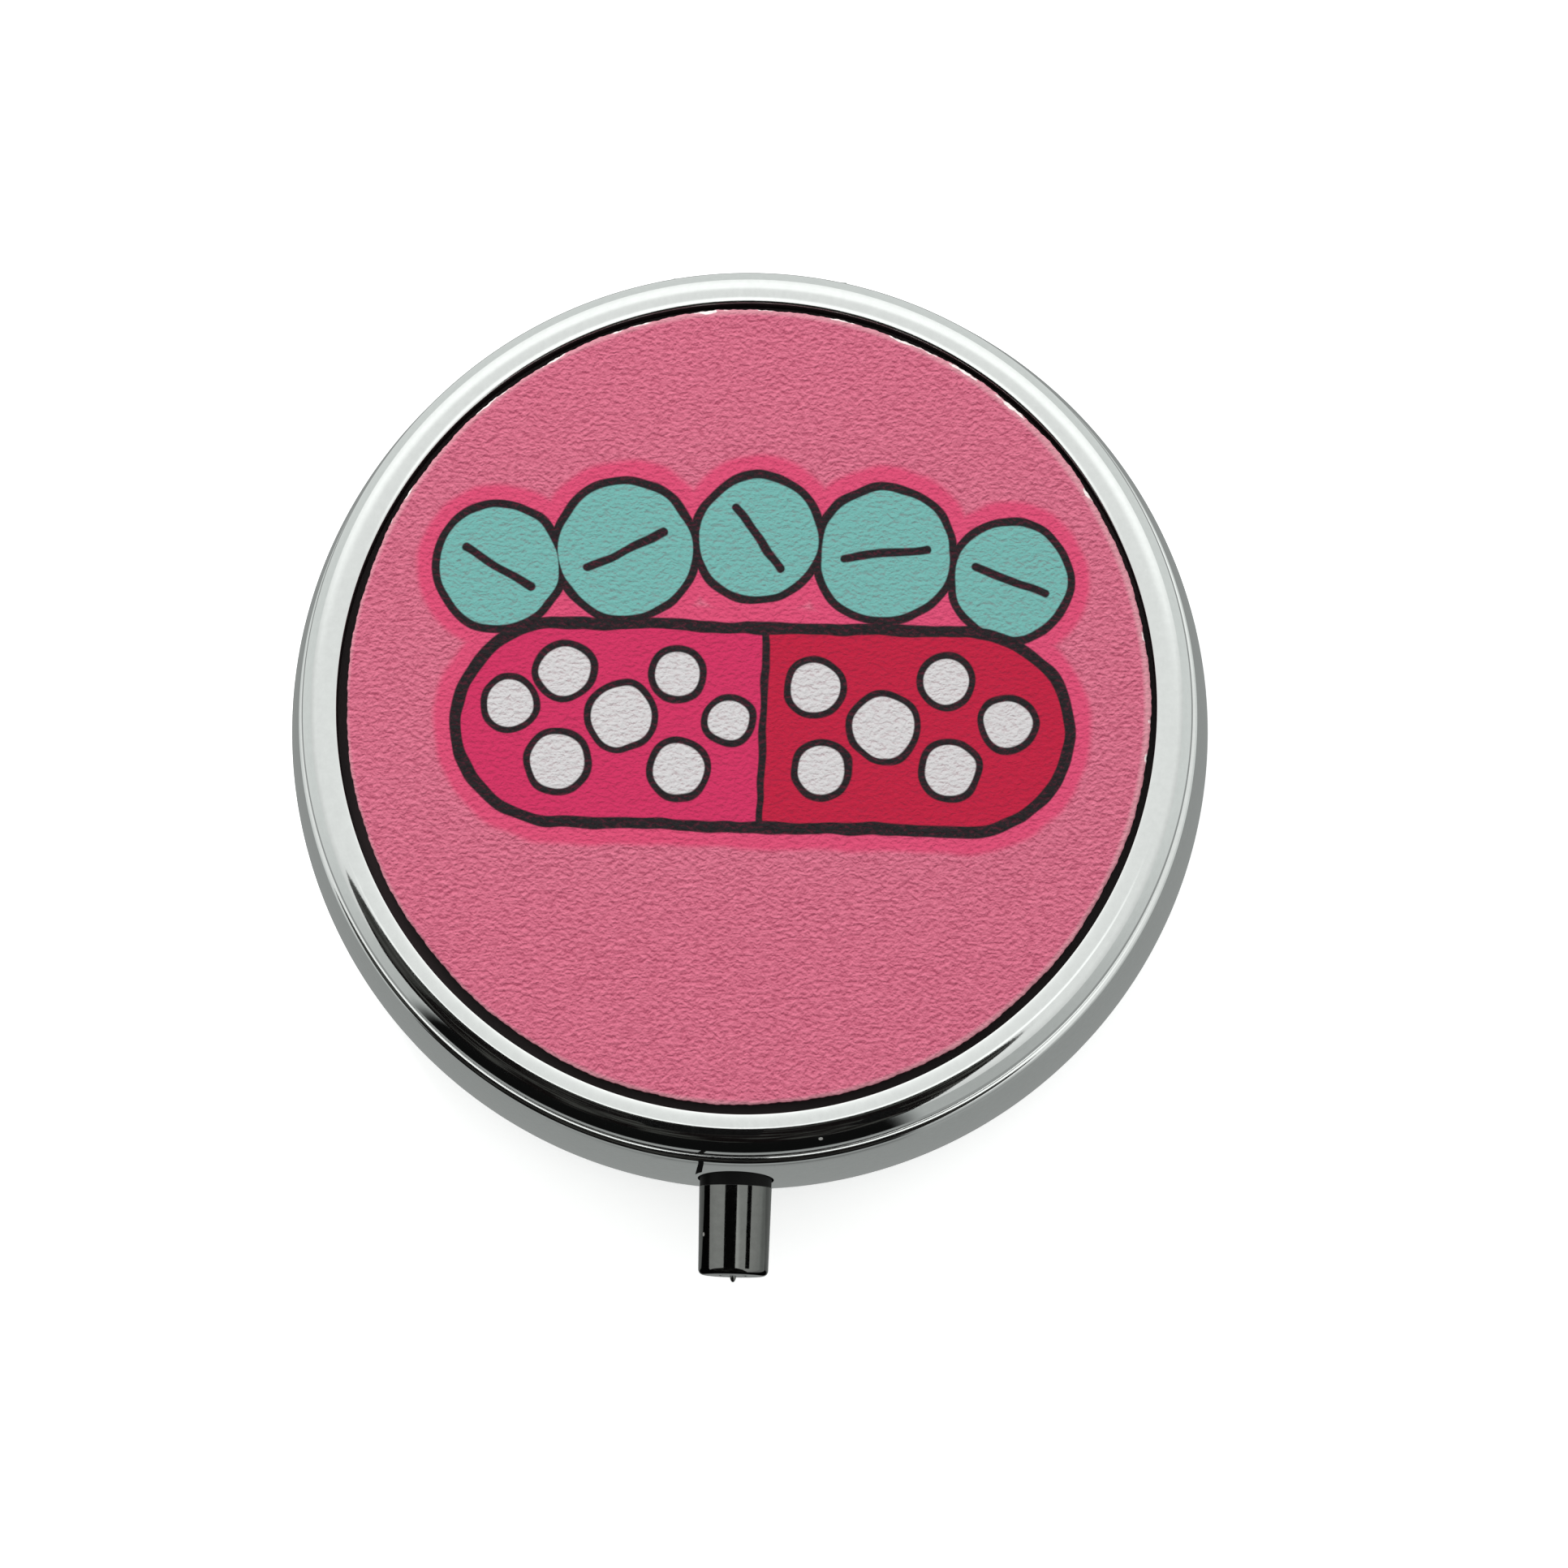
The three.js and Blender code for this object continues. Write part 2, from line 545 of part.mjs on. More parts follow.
const fixed = new THREE.Group();
fixed.add(
  piece("case_shell", caseShell(), chrome),
  piece("pill_tray", pillTray(), whitePlastic),
  piece("case_hinge_leaf", caseHingeLeaf(), zincSteel),
  piece("hinge_pin", hingePin(), chrome),
  piece("hinge_spring", hingeSpring(), springSteel),
  piece("latch_bracket", latchBracket(), zincSteel),
);

const button = new THREE.Group();
button.add(
  piece("push_button", pushButton(), darkChrome),
  piece("button_collar", buttonCollar(), blackPlastic),
  piece("button_stem", buttonStem(), darkChrome),
  piece("button_spring", buttonSpring(), springSteel),
  piece("stem_clip", stemClip(), springSteel),
  piece("release_catch", releaseCatch(), zincSteel),
);

const lid = new THREE.Group();
lid.add(
  piece("lid_shell", lidShell(), chrome),
  piece("face_disc", faceDisc(), leathercloth),
  piece("face_card", faceCard(), greyCard),
  piece("face_glue", faceGlue(), glue),
  piece("mirror_glass", mirrorGlass(), silvered),
  piece("mirror_pad", mirrorPad(), foam),
  piece("lid_hinge_leaf", lidHingeLeaf(), zincSteel),
  piece("latch_hook", latchHook(), zincSteel),
);

const pillBox = new THREE.Group();
pillBox.add(fixed, button, lid);

export default pillBox;
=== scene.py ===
"""A round pocket pill box: a drawn chrome case, a hinged lid with a printed leathercloth disc, and a sprung
push button at the front. Metres, +Z up, the button towards -Y and the hinge at +Y."""

import math

import bpy
import numpy as np
from mathutils import Matrix, Vector


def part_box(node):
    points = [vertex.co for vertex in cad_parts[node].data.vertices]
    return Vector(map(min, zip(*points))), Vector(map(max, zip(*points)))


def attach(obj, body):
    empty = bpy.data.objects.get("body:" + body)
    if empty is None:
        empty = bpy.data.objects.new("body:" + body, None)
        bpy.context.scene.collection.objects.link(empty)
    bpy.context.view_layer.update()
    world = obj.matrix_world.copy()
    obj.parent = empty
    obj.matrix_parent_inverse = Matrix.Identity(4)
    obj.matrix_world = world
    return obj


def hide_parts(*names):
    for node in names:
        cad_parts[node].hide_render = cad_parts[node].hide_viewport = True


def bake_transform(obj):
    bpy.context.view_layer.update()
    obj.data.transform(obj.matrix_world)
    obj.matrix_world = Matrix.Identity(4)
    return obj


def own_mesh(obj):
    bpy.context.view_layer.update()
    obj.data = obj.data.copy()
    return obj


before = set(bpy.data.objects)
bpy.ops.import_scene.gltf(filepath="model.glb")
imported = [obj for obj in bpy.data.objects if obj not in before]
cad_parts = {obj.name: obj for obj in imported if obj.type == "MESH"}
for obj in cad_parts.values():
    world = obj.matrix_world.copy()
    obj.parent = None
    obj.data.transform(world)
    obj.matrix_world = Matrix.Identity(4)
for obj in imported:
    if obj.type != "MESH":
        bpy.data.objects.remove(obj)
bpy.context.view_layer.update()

# ---- The camera and the studio ------------------------------------------------------------------------
# The box lies on a white table under a wide soft ceiling. The camera looks down on it from a little in
# front and to the right, and whoever holds it is a dark shape that only the polished metal shows.
MM = 0.001
CAMERA_DISTANCE = 350 * MM
CAMERA_AZIMUTH = math.radians(8.1)
CAMERA_ELEVATION = math.radians(81.9)
CAMERA_ROLL = math.radians(1.6)
CAMERA_TARGET = Vector((2.0, -3.24, 8.0)) * MM
LENS_MM = 148.3
SENSOR_MM = 36

scene = bpy.context.scene
scene.view_settings.view_transform = "Standard"


def aim(target, distance, azimuth, elevation, roll):
    """The matrix of a camera at a distance from its target: its Z axis points back along the view, its X
    axis is level, and both its other axes then turn by the roll."""
    level = math.cos(elevation)
    back = Vector((math.sin(azimuth) * level, -math.cos(azimuth) * level, math.sin(elevation)))
    right = Vector((0, 1, 0)).cross(back).normalized()
    up = back.cross(right)
    turned_right = right * math.cos(roll) + up * math.sin(roll)
    turned_up = up * math.cos(roll) - right * math.sin(roll)
    matrix = Matrix((turned_right, turned_up, back)).transposed().to_4x4()
    matrix.translation = target + back * distance
    return matrix


camera_data = bpy.data.cameras.new("camera")
camera_data.lens = LENS_MM
camera_data.sensor_width = SENSOR_MM
camera_data.clip_start = 0.01
camera = bpy.data.objects.new("camera", camera_data)
camera.matrix_world = aim(CAMERA_TARGET, CAMERA_DISTANCE, CAMERA_AZIMUTH, CAMERA_ELEVATION, CAMERA_ROLL)
scene.collection.objects.link(camera)
scene.camera = camera


def add_node(tree, kind, inputs=(), **settings):
    """Adds a shader node, sets its properties, and fills its sockets with values or links."""
    made = tree.nodes.new(kind)
    for key, value in settings.items():
        setattr(made, key, value)
    for key, value in dict(inputs).items():
        socket = made.inputs[key]
        if isinstance(value, bpy.types.NodeSocket):
            tree.links.new(value, socket)
        else:
            socket.default_value = value
    return made


def compute(tree, operation, *values):
    """One arithmetic step between sockets and numbers; gives its output socket."""
    return add_node(tree, "ShaderNodeMath", dict(enumerate(values)), operation=operation).outputs[0]


def compute_vector(tree, operation, *vectors):
    """One step between vectors; gives its vector, or its number for a length or a dot product."""
    made = add_node(tree, "ShaderNodeVectorMath", dict(enumerate(vectors)), operation=operation)
    return made.outputs["Value" if operation in ("LENGTH", "DOT_PRODUCT") else 0]


def part_of(tree, vector, axis):
    """One of a vector's three numbers."""
    return add_node(tree, "ShaderNodeSeparateXYZ", {0: vector}).outputs[axis]


def noise(tree, point, scale, detail, roughness=0.5, output=0):
    """A cloudy noise over a place, from 0 to 1, or as three numbers when the colour is asked for."""
    inputs = {"Vector": point, "Scale": scale, "Detail": detail, "Roughness": roughness}
    return add_node(tree, "ShaderNodeTexNoise", inputs).outputs[output]


def object_point(tree):
    """The place on the piece, in metres."""
    return add_node(tree, "ShaderNodeTexCoord").outputs["Object"]


def rescale(tree, value, low, high, to_low=0.0, to_high=1.0, interpolation="LINEAR"):
    """Moves a value from one range to another and holds it there."""
    inputs = {"Value": value, "From Min": low, "From Max": high, "To Min": to_low, "To Max": to_high}
    made = add_node(tree, "ShaderNodeMapRange", inputs, interpolation_type=interpolation)
    return made.outputs["Result"]


def blend_colour(tree, share, first, second):
    """Mixes two colours by a share from 0 to 1."""
    made = tree.nodes.new("ShaderNodeMix")
    made.data_type = "RGBA"
    for place, value in ((0, share), (6, first), (7, second)):
        if isinstance(value, bpy.types.NodeSocket):
            tree.links.new(value, made.inputs[place])
        else:
            made.inputs[place].default_value = value
    return made.outputs[2]


def new_material(name):
    """A node material; gives it, its tree and its Principled shader."""
    material = bpy.data.materials.new(name)
    material.use_nodes = True
    tree = material.node_tree
    return material, tree, tree.nodes["Principled BSDF"]


# The ceiling's lamp is an ellipse of these half sizes, a little towards the front of the point overhead.
LAMP_HALF_WIDTH = 0.42
LAMP_HALF_DEPTH = 0.13
LAMP_SHIFT = 0.045
LAMP_GLOW = 0.36
WINDOW_GLOW = 0.34
WALL_GLOW_LOW, WALL_GLOW_HIGH = 0.66, 0.8
world = bpy.data.worlds.new("studio")
world.use_nodes = True
scene.world = world
tree = world.node_tree
direction = add_node(tree, "ShaderNodeTexCoord").outputs["Generated"]
to_back = part_of(tree, direction, "Y")
across = compute(tree, "MULTIPLY", part_of(tree, direction, "X"), 1 / LAMP_HALF_WIDTH)
along = compute(tree, "MULTIPLY", compute(tree, "ADD", to_back, LAMP_SHIFT), 1 / LAMP_HALF_DEPTH)
squares = [compute(tree, "MULTIPLY", side, side) for side in (across, along)]
from_lamp = compute(tree, "SQRT", compute(tree, "ADD", *squares))
lamp = rescale(tree, from_lamp, 1.0, 0.55, 0.0, LAMP_GLOW, "SMOOTHSTEP")
window = rescale(tree, to_back, 0.12, 0.6, 0.0, WINDOW_GLOW, "SMOOTHSTEP")
walls = rescale(tree, part_of(tree, direction, "Z"), 0.0, 0.5, WALL_GLOW_LOW, WALL_GLOW_HIGH)
brightness = compute(tree, "ADD", compute(tree, "ADD", lamp, window), walls)
background = tree.nodes["Background"]
background.inputs["Color"].default_value = (0.98, 1.0, 0.985, 1)
tree.links.new(brightness, background.inputs["Strength"])


def card(name, points, faces, colour, folds=None):
    """A card or a curved screen that only reflections see, of even brightness or clouded by a second one."""
    mesh = bpy.data.meshes.new(name)
    mesh.from_pydata(np.asarray(points, float).tolist(), [], faces)
    made = bpy.data.objects.new(name, mesh)
    material = bpy.data.materials.new(name)
    material.use_nodes = True
    tree = material.node_tree
    tree.nodes.clear()
    glow = add_node(tree, "ShaderNodeEmission", {"Color": (*colour, 1)})
    if folds:
        cloud = rescale(tree, noise(tree, object_point(tree), 9.0, 5.0), 0.46, 0.62)
        tree.links.new(blend_colour(tree, cloud, (*colour, 1), (*folds, 1)), glow.inputs["Color"])
    output = add_node(tree, "ShaderNodeOutputMaterial")
    tree.links.new(glow.outputs[0], output.inputs["Surface"])
    mesh.materials.append(material)
    scene.collection.objects.link(made)
    for ray in ("camera", "diffuse", "transmission", "shadow"):
        setattr(made, f"visible_{ray}", False)


def grid_faces(rows, columns):
    """The quads of a grid of points stored row by row."""
    index = np.arange(rows * columns).reshape(rows, columns)
    corners = [index[:-1, :-1], index[:-1, 1:], index[1:, 1:], index[1:, :-1]]
    return np.stack(corners, axis=-1).reshape(-1, 4).tolist()


def silhouette(name, distance, leans, lefts, rights, colour, folds):
    """A dark shape in front: at each lean from the vertical it spans one angle to the left of the front and
    another to its right, all in degrees, on a sphere about the origin."""
    rows, columns = 60, 41
    lean = np.radians(np.linspace(leans[0], leans[-1], rows))[:, None]
    left, right = (np.radians(np.interp(np.degrees(lean), leans, reach)) for reach in (lefts, rights))
    share = np.linspace(0, 1, columns)
    side = -left * (1 - share) + right * share
    x = np.sin(lean) * np.sin(side)
    y = -np.sin(lean) * np.cos(side)
    z = np.repeat(np.cos(lean), columns, axis=1)
    points = distance * np.stack([x, y, z], axis=-1).reshape(-1, 3)
    card(name, points, grid_faces(rows, columns), colour, folds)


BLACK_CLOTH = (0.004, 0.003, 0.003)
WORN_CLOTH = (0.045, 0.046, 0.042)
SLEEVE_CLOTH = (0.03, 0.031, 0.028)
SLEEVE_FOLDS = (0.052, 0.053, 0.05)
HOLDER_LEANS = (4.5, 7, 10, 14, 30, 40, 50, 60, 70, 80, 91)
HOLDER_LEFTS = (5, 50, 70, 77, 75, 75, 75, 75, 73, 67, 61)
HOLDER_RIGHTS = (3, 22, 42, 51, 50, 48, 43, 37, 33, 30, 25)
SLEEVE_LEANS = (18, 30, 60, 76)
SLEEVE_LEFTS = (66, 74, 74, 69)
SLEEVE_RIGHTS = (-60, -56, -55, -62)
silhouette("holder", 600 * MM, HOLDER_LEANS, HOLDER_LEFTS, HOLDER_RIGHTS, BLACK_CLOTH, WORN_CLOTH)
silhouette("sleeve", 590 * MM, SLEEVE_LEANS, SLEEVE_LEFTS, SLEEVE_RIGHTS, SLEEVE_CLOTH, SLEEVE_FOLDS)

# Small dark flags stand close over the button and beside it, and stripe its plating. Each is a part of a
# round about the button's axis: its radius in millimetres, and where it starts and stops in degrees.
FLAG_BACK = -23.9 * MM
FLAG_FRONT = -31.0 * MM
FLAG_STEPS = 13
FLAGS = ((13.5, -29, 7), (13.5, 38, 52), (2.3, -70, -51))
button_low, button_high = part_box("push_button")
BUTTON_HEIGHT = (button_low.z + button_high.z) / 2
for number, (radius, start, stop) in enumerate(FLAGS):
    lean = np.radians(np.linspace(start, stop, FLAG_STEPS))
    across = radius * MM * np.sin(lean)
    up = BUTTON_HEIGHT + radius * MM * np.cos(lean)
    rows = [np.stack([across, np.full(FLAG_STEPS, y), up], axis=1) for y in (FLAG_BACK, FLAG_FRONT)]
    card(f"flag_{number}", np.vstack(rows), grid_faces(2, FLAG_STEPS), (0.004, 0.004, 0.004))

# A square soft light at the back lifts the print, and no reflection shows it.
WINDOW_PLACE = Vector((-200, 380, 330)) * MM
window_data = bpy.data.lights.new("window_light", "AREA")
window_data.size = 0.16
window_data.energy = 1.5
window_light = bpy.data.objects.new("window_light", window_data)
window_light.location = WINDOW_PLACE
window_light.rotation_euler = (-WINDOW_PLACE).to_track_quat("-Z", "Y").to_euler()
window_light.visible_glossy = False
scene.collection.objects.link(window_light)

FLOOR_HALF = 1.5
floor_mesh = bpy.data.meshes.new("floor")
floor_corners = [(x * FLOOR_HALF, y * FLOOR_HALF, 0) for x, y in ((-1, -1), (1, -1), (1, 1), (-1, 1))]
floor_mesh.from_pydata(floor_corners, [], [(0, 1, 2, 3)])
floor = bpy.data.objects.new("floor", floor_mesh)
scene.collection.objects.link(floor)
floor_material, tree, shader = new_material("white_table")
light_path = add_node(tree, "ShaderNodeLightPath")
shader.inputs["Base Color"].default_value = (0.96, 0.96, 0.96, 1)
shader.inputs["Roughness"].default_value = 0.9
shader.inputs["Specular IOR Level"].default_value = 0.0
# Reflections see the table glow with painted light and shadow: lighter towards the back, a painted shadow of
# the holder in front, and a dim painted shadow close round the box. The camera sees the table with an even
# glow added.
place = object_point(tree)
heading = compute_vector(tree, "NORMALIZE", place)
to_front = compute(tree, "MULTIPLY", part_of(tree, heading, "Y"), -1.0)
lit_table = rescale(tree, to_front, 0.8, 0.05, 0.42, 0.68, "SMOOTHSTEP")
HOLDER_HEADING = (-0.22, -0.975, 0.0)
to_holder = compute_vector(tree, "DOT_PRODUCT", heading, HOLDER_HEADING)
holder_shade = rescale(tree, to_holder, 0.83, 0.77, 0.01, 1.0, "SMOOTHSTEP")
shaded_table = compute(tree, "MULTIPLY", lit_table, holder_shade)
SHADE_START, SHADE_END = 31.0 * MM, 32.2 * MM
SHADOW_UNDER_THE_BOX = 0.29
beyond = rescale(tree, compute_vector(tree, "LENGTH", place), SHADE_START, SHADE_END, 0.0, 1.0, "SMOOTHSTEP")
table_light = add_node(tree, "ShaderNodeMix", {0: beyond, 2: SHADOW_UNDER_THE_BOX, 3: shaded_table}).outputs[0]
seen_table = add_node(tree, "ShaderNodeEmission", {"Color": (0.96, 1.0, 0.98, 1), "Strength": table_light})
bright_table = add_node(tree, "ShaderNodeEmission", {"Color": (1, 1, 1, 1), "Strength": 0.45})
table = shader.outputs[0]
lifted = add_node(tree, "ShaderNodeAddShader", {0: table, 1: bright_table.outputs[0]}).outputs[0]
camera_ray, glossy_ray = light_path.outputs["Is Camera Ray"], light_path.outputs["Is Glossy Ray"]
to_camera = add_node(tree, "ShaderNodeMixShader", {0: camera_ray, 1: table, 2: lifted}).outputs[0]
choice = add_node(tree, "ShaderNodeMixShader", {0: glossy_ray, 1: to_camera, 2: seen_table.outputs[0]})
tree.links.new(choice.outputs[0], tree.nodes["Material Output"].inputs["Surface"])
floor_mesh.materials.append(floor_material)

# ---- The case -----------------------------------------------------------------------------------------
# A deep-drawn steel cup, polished and plated with bright chrome. Its wall swells out below the middle and
# leans in to a rounded rim; the front is pierced for the button and the back is notched for the hinge.
case_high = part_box("case_shell")[1]
lid_low, lid_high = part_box("lid_shell")
WIDEST_RADIUS = case_high.x
WIDEST_HEIGHT = 5.0 * MM
CASE_HEIGHT = case_high.z
RIM_RADIUS = lid_high.x + 0.25 * MM
FOOT_RADIUS = WIDEST_RADIUS - 2.8 * MM
CASE_SHEET = 0.8 * MM
RIM_ROUND = 0.26 * MM
HINGE = Vector((0, RIM_RADIUS - 1.3 * MM, CASE_HEIGHT))
BARREL_RADIUS = 1.0 * MM
BARREL_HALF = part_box("hinge_pin")[1].x
NOTCH_GAP = 0.4 * MM
SWING_RELIEF = 0.8 * MM
BUTTON_RADIUS = button_high.x
HOLE_GAP = 0.1 * MM


def arc(centre_r, centre_z, radius_r, radius_z, start, stop, steps):
    """Points on an ellipse about a centre: r = centre + radius_r cos(angle), z = centre + radius_z
    sin(angle), from one angle to another in degrees."""
    angle = np.radians(np.linspace(start, stop, steps + 1))
    return np.stack([centre_r + radius_r * np.cos(angle), centre_z + radius_z * np.sin(angle)], axis=1)


def make_piece(name, points, faces):
    """A smooth-shaded piece from its points and faces."""
    mesh = bpy.data.meshes.new(name)
    mesh.from_pydata(np.asarray(points, float).tolist(), [], faces)
    mesh.validate()
    mesh.polygons.foreach_set("use_smooth", np.ones(len(mesh.polygons), bool))
    made = bpy.data.objects.new(name, mesh)
    scene.collection.objects.link(made)
    return made


def turned(name, outline, segments=720, along="Z", centre=(0, 0, 0)):
    """A surface of revolution: each point (r, z) of the outline goes round a circle, x = r cos(angle),
    y = r sin(angle). An outline that touches the axis closes there in a point, and another closes on
    itself. The axis then lies along Z, along -Y or along X through the centre."""
    outline = np.asarray(outline, float)
    on_axis = outline[:, 0] < 1e-9
    rings = outline[~on_axis]
    angle = np.linspace(0, 2 * np.pi, segments, endpoint=False)
    x = rings[:, :1] * np.cos(angle)
    y = rings[:, :1] * np.sin(angle)
    z = np.repeat(rings[:, 1:], segments, axis=1)
    points = np.stack([x, y, z], axis=-1).reshape(-1, 3)
    index = np.arange(len(points)).reshape(len(rings), segments)
    beside = np.roll(index, -1, axis=1)
    above = np.roll(index, -1, axis=0)
    above_beside = np.roll(beside, -1, axis=0)
    quads = np.stack([index, beside, above_beside, above], axis=-1)
    if on_axis.any():
        quads = quads[:-1]
    faces = quads.reshape(-1, 4).tolist()
    if on_axis[0]:
        pole = len(points)
        points = np.vstack([points, [[0, 0, outline[0, 1]]]])
        faces += np.stack([np.full(segments, pole), beside[0], index[0]], axis=1).tolist()
    if on_axis[-1]:
        pole = len(points)
        points = np.vstack([points, [[0, 0, outline[-1, 1]]]])
        faces += np.stack([index[-1], beside[-1], np.full(segments, pole)], axis=1).tolist()
    x, y, z = points.T
    turns = {"Z": (x, y, z), "-Y": (x, -z, y), "X": (z, y, -x)}
    return make_piece(name, np.stack(turns[along], axis=1) + np.asarray(centre), faces)


def block(name, low, high):
    """A plain box between two corners."""
    points = [(x, y, z) for z in (low[2], high[2]) for y in (low[1], high[1]) for x in (low[0], high[0])]
    faces = [(0, 2, 3, 1), (4, 5, 7, 6), (0, 1, 5, 4), (2, 6, 7, 3), (0, 4, 6, 2), (1, 3, 7, 5)]
    return make_piece(name, points, faces)


def settle(piece, crease=math.radians(35)):
    """Fixes a piece's modifiers into its mesh, and keeps the edges sharper than the crease sharp."""
    graph = bpy.context.evaluated_depsgraph_get()
    before = piece.data
    piece.data = bpy.data.meshes.new_from_object(piece.evaluated_get(graph))
    piece.data.name = piece.name
    piece.modifiers.clear()
    bpy.data.meshes.remove(before)
    piece.data.polygons.foreach_set("use_smooth", np.ones(len(piece.data.polygons), bool))
    piece.data.set_sharp_from_angle(angle=crease)
    return piece


def work(piece, tool, operation="DIFFERENCE"):
    """Cuts a tool's shape from a piece, joins it on, or keeps only what both share; the tool goes."""
    step = piece.modifiers.new("work", "BOOLEAN")
    step.operation = operation
    step.object = tool
    step.solver = "EXACT"
    settle(piece)
    bpy.data.objects.remove(tool)
    return piece


def finish_piece(piece, body, slot, material, *nodes):
    """Gives a piece its material and its body, and hides the nodes that it stands for; the finish slot is not
    used.
    """
    piece.data.materials.clear()
    piece.data.materials.append(material)
    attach(piece, body)
    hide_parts(*nodes)
    return piece


def wall_radius(z):
    """The case wall's outer radius above its widest: it leans in as the square of the rise."""
    rise = (z - WIDEST_HEIGHT) / (CASE_HEIGHT - WIDEST_HEIGHT)
    return WIDEST_RADIUS - (WIDEST_RADIUS - RIM_RADIUS) * rise**2


def new_group(name, inputs, outputs):
    """An empty shader node group with named number inputs and outputs."""
    group = bpy.data.node_groups.new(name, "ShaderNodeTree")
    for label, value in inputs:
        socket = group.interface.new_socket(name=label, in_out="INPUT", socket_type="NodeSocketFloat")
        socket.default_value = value
    for label in outputs:
        group.interface.new_socket(name=label, in_out="OUTPUT", socket_type="NodeSocketFloat")
    start = group.nodes.new("NodeGroupInput")
    end = group.nodes.new("NodeGroupOutput")
    return group, start, end


def plating_marks():
    """Marks on polished metal: a soft mottle, hairline rubs in two directions, and specks of dust."""
    settings = [("Mottle Scale", 2600), ("Rub", 0.5)]
    group, start, end = new_group("plating_marks", settings, ["Mottle", "Rubs", "Dust"])
    point = object_point(group)
    mottle = noise(group, point, start.outputs["Mottle Scale"], 3.0, 0.6)
    group.links.new(rescale(group, mottle, 0.3, 0.7), end.inputs["Mottle"])
    rubs = []
    for turn, stretch in ((0.5, (9000, 260, 900)), (-0.9, (260, 7600, 900))):
        inputs = {"Vector": point, "Rotation": (0, 0, turn), "Scale": stretch}
        mapped = add_node(group, "ShaderNodeMapping", inputs).outputs[0]
        rubs.append(rescale(group, noise(group, mapped, 1.0, 2.0), 0.66, 0.76))
    rub = compute(group, "MULTIPLY", compute(group, "MAXIMUM", *rubs), start.outputs["Rub"])
    group.links.new(rub, end.inputs["Rubs"])
    cells = add_node(group, "ShaderNodeTexVoronoi", {"Vector": point, "Scale": 650.0})
    near = rescale(group, cells.outputs["Distance"], 0.09, 0.05)
    chosen = add_node(group, "ShaderNodeSeparateColor", {"Color": cells.outputs["Color"]}).outputs[0]
    dust = compute(group, "MULTIPLY", near, compute(group, "GREATER_THAN", chosen, 0.93))
    group.links.new(dust, end.inputs["Dust"])
    return group


MARKS = plating_marks()


def raise_relief(tree, shader, height, strength, distance):
    """Bumps a shader's surface by a height."""
    inputs = {"Height": height, "Strength": strength, "Distance": distance}
    tree.links.new(add_node(tree, "ShaderNodeBump", inputs).outputs[0], shader.inputs["Normal"])


def polished_metal(name, colour, roughness, mottle=0.05, bump=0.02):
    """Plated or polished metal: mirror-like, with a faint mottle, hairline rubs and a little dust."""
    material, tree, shader = new_material(name)
    marks = add_node(tree, "ShaderNodeGroup", node_tree=MARKS)
    rubbed = compute(tree, "MULTIPLY_ADD", marks.outputs["Rubs"], 0.1, roughness)
    rough = compute(tree, "MULTIPLY_ADD", marks.outputs["Dust"], 0.4, rubbed)
    rough = compute(tree, "MULTIPLY_ADD", marks.outputs["Mottle"], 0.03, rough)
    tree.links.new(rough, shader.inputs["Roughness"])
    dull = tuple(c * (1 - mottle) for c in colour)
    mixed = blend_colour(tree, marks.outputs["Mottle"], (*dull, 1), (*colour, 1))
    dusty = blend_colour(tree, marks.outputs["Dust"], mixed, (0.45, 0.44, 0.42, 1))
    tree.links.new(dusty, shader.inputs["Base Color"])
    bare = compute(tree, "MULTIPLY_ADD", marks.outputs["Dust"], -0.7, 1.0)
    tree.links.new(bare, shader.inputs["Metallic"])
    raise_relief(tree, shader, marks.outputs["Mottle"], bump, 0.02 * MM)
    return material


CHROME = polished_metal("bright_chrome", (0.9, 0.915, 0.905), 0.06)

lean_z = np.linspace(WIDEST_HEIGHT, CASE_HEIGHT - RIM_ROUND, 29)
lean = np.stack([wall_radius(lean_z), lean_z], axis=1)
rim_edge = wall_radius(CASE_HEIGHT - RIM_ROUND)
corner_run = WIDEST_RADIUS - FOOT_RADIUS
outside_corner = arc(FOOT_RADIUS, WIDEST_HEIGHT, corner_run, WIDEST_HEIGHT, -90, 0, 28)
outer_round = arc(rim_edge - RIM_ROUND, CASE_HEIGHT - RIM_ROUND, RIM_ROUND, RIM_ROUND, 0, 90, 6)
inner_edge = rim_edge - CASE_SHEET + RIM_ROUND
inner_round = arc(inner_edge, CASE_HEIGHT - RIM_ROUND, RIM_ROUND, RIM_ROUND, 90, 180, 6)
inside_lean = (lean - [CASE_SHEET, 0])[::-1]
inside_depth = WIDEST_HEIGHT - CASE_SHEET
inside_corner = arc(FOOT_RADIUS, WIDEST_HEIGHT, corner_run - CASE_SHEET, inside_depth, 0, -90, 20)
case_outline = np.vstack([
    [[0, 0]], outside_corner, lean[1:-1], outer_round, inner_round, inside_lean[1:-1], inside_corner,
    [[0, CASE_SHEET]],
])
case = turned("case", case_outline)
hole_outline = [[0, 0], [BUTTON_RADIUS + HOLE_GAP, 0], [BUTTON_RADIUS + HOLE_GAP, 1], [0, 1]]
hole_outline = np.array(hole_outline) * [1, WIDEST_RADIUS * 0.3] + [0, WIDEST_RADIUS * 0.85]
work(case, turned("hole", hole_outline, 128, "-Y", (0, 0, BUTTON_HEIGHT)))
notch_half = BARREL_HALF + NOTCH_GAP
notch_bottom = HINGE.z - BARREL_RADIUS - NOTCH_GAP
inside_back, past_back = RIM_RADIUS * 0.8, WIDEST_RADIUS * 1.1
work(case, block("notch", (-notch_half, inside_back, notch_bottom), (notch_half, past_back, 1)))
skirt_behind_pin = math.sqrt(lid_high.x**2 - HINGE.y**2)
swing_half = max(skirt_behind_pin, notch_half) + NOTCH_GAP
relief_bottom = CASE_HEIGHT - SWING_RELIEF
work(case, block("relief", (-swing_half, inside_back, relief_bottom), (swing_half, past_back, 1)))
finish_piece(case, "case", "chrome", CHROME, "case_shell")

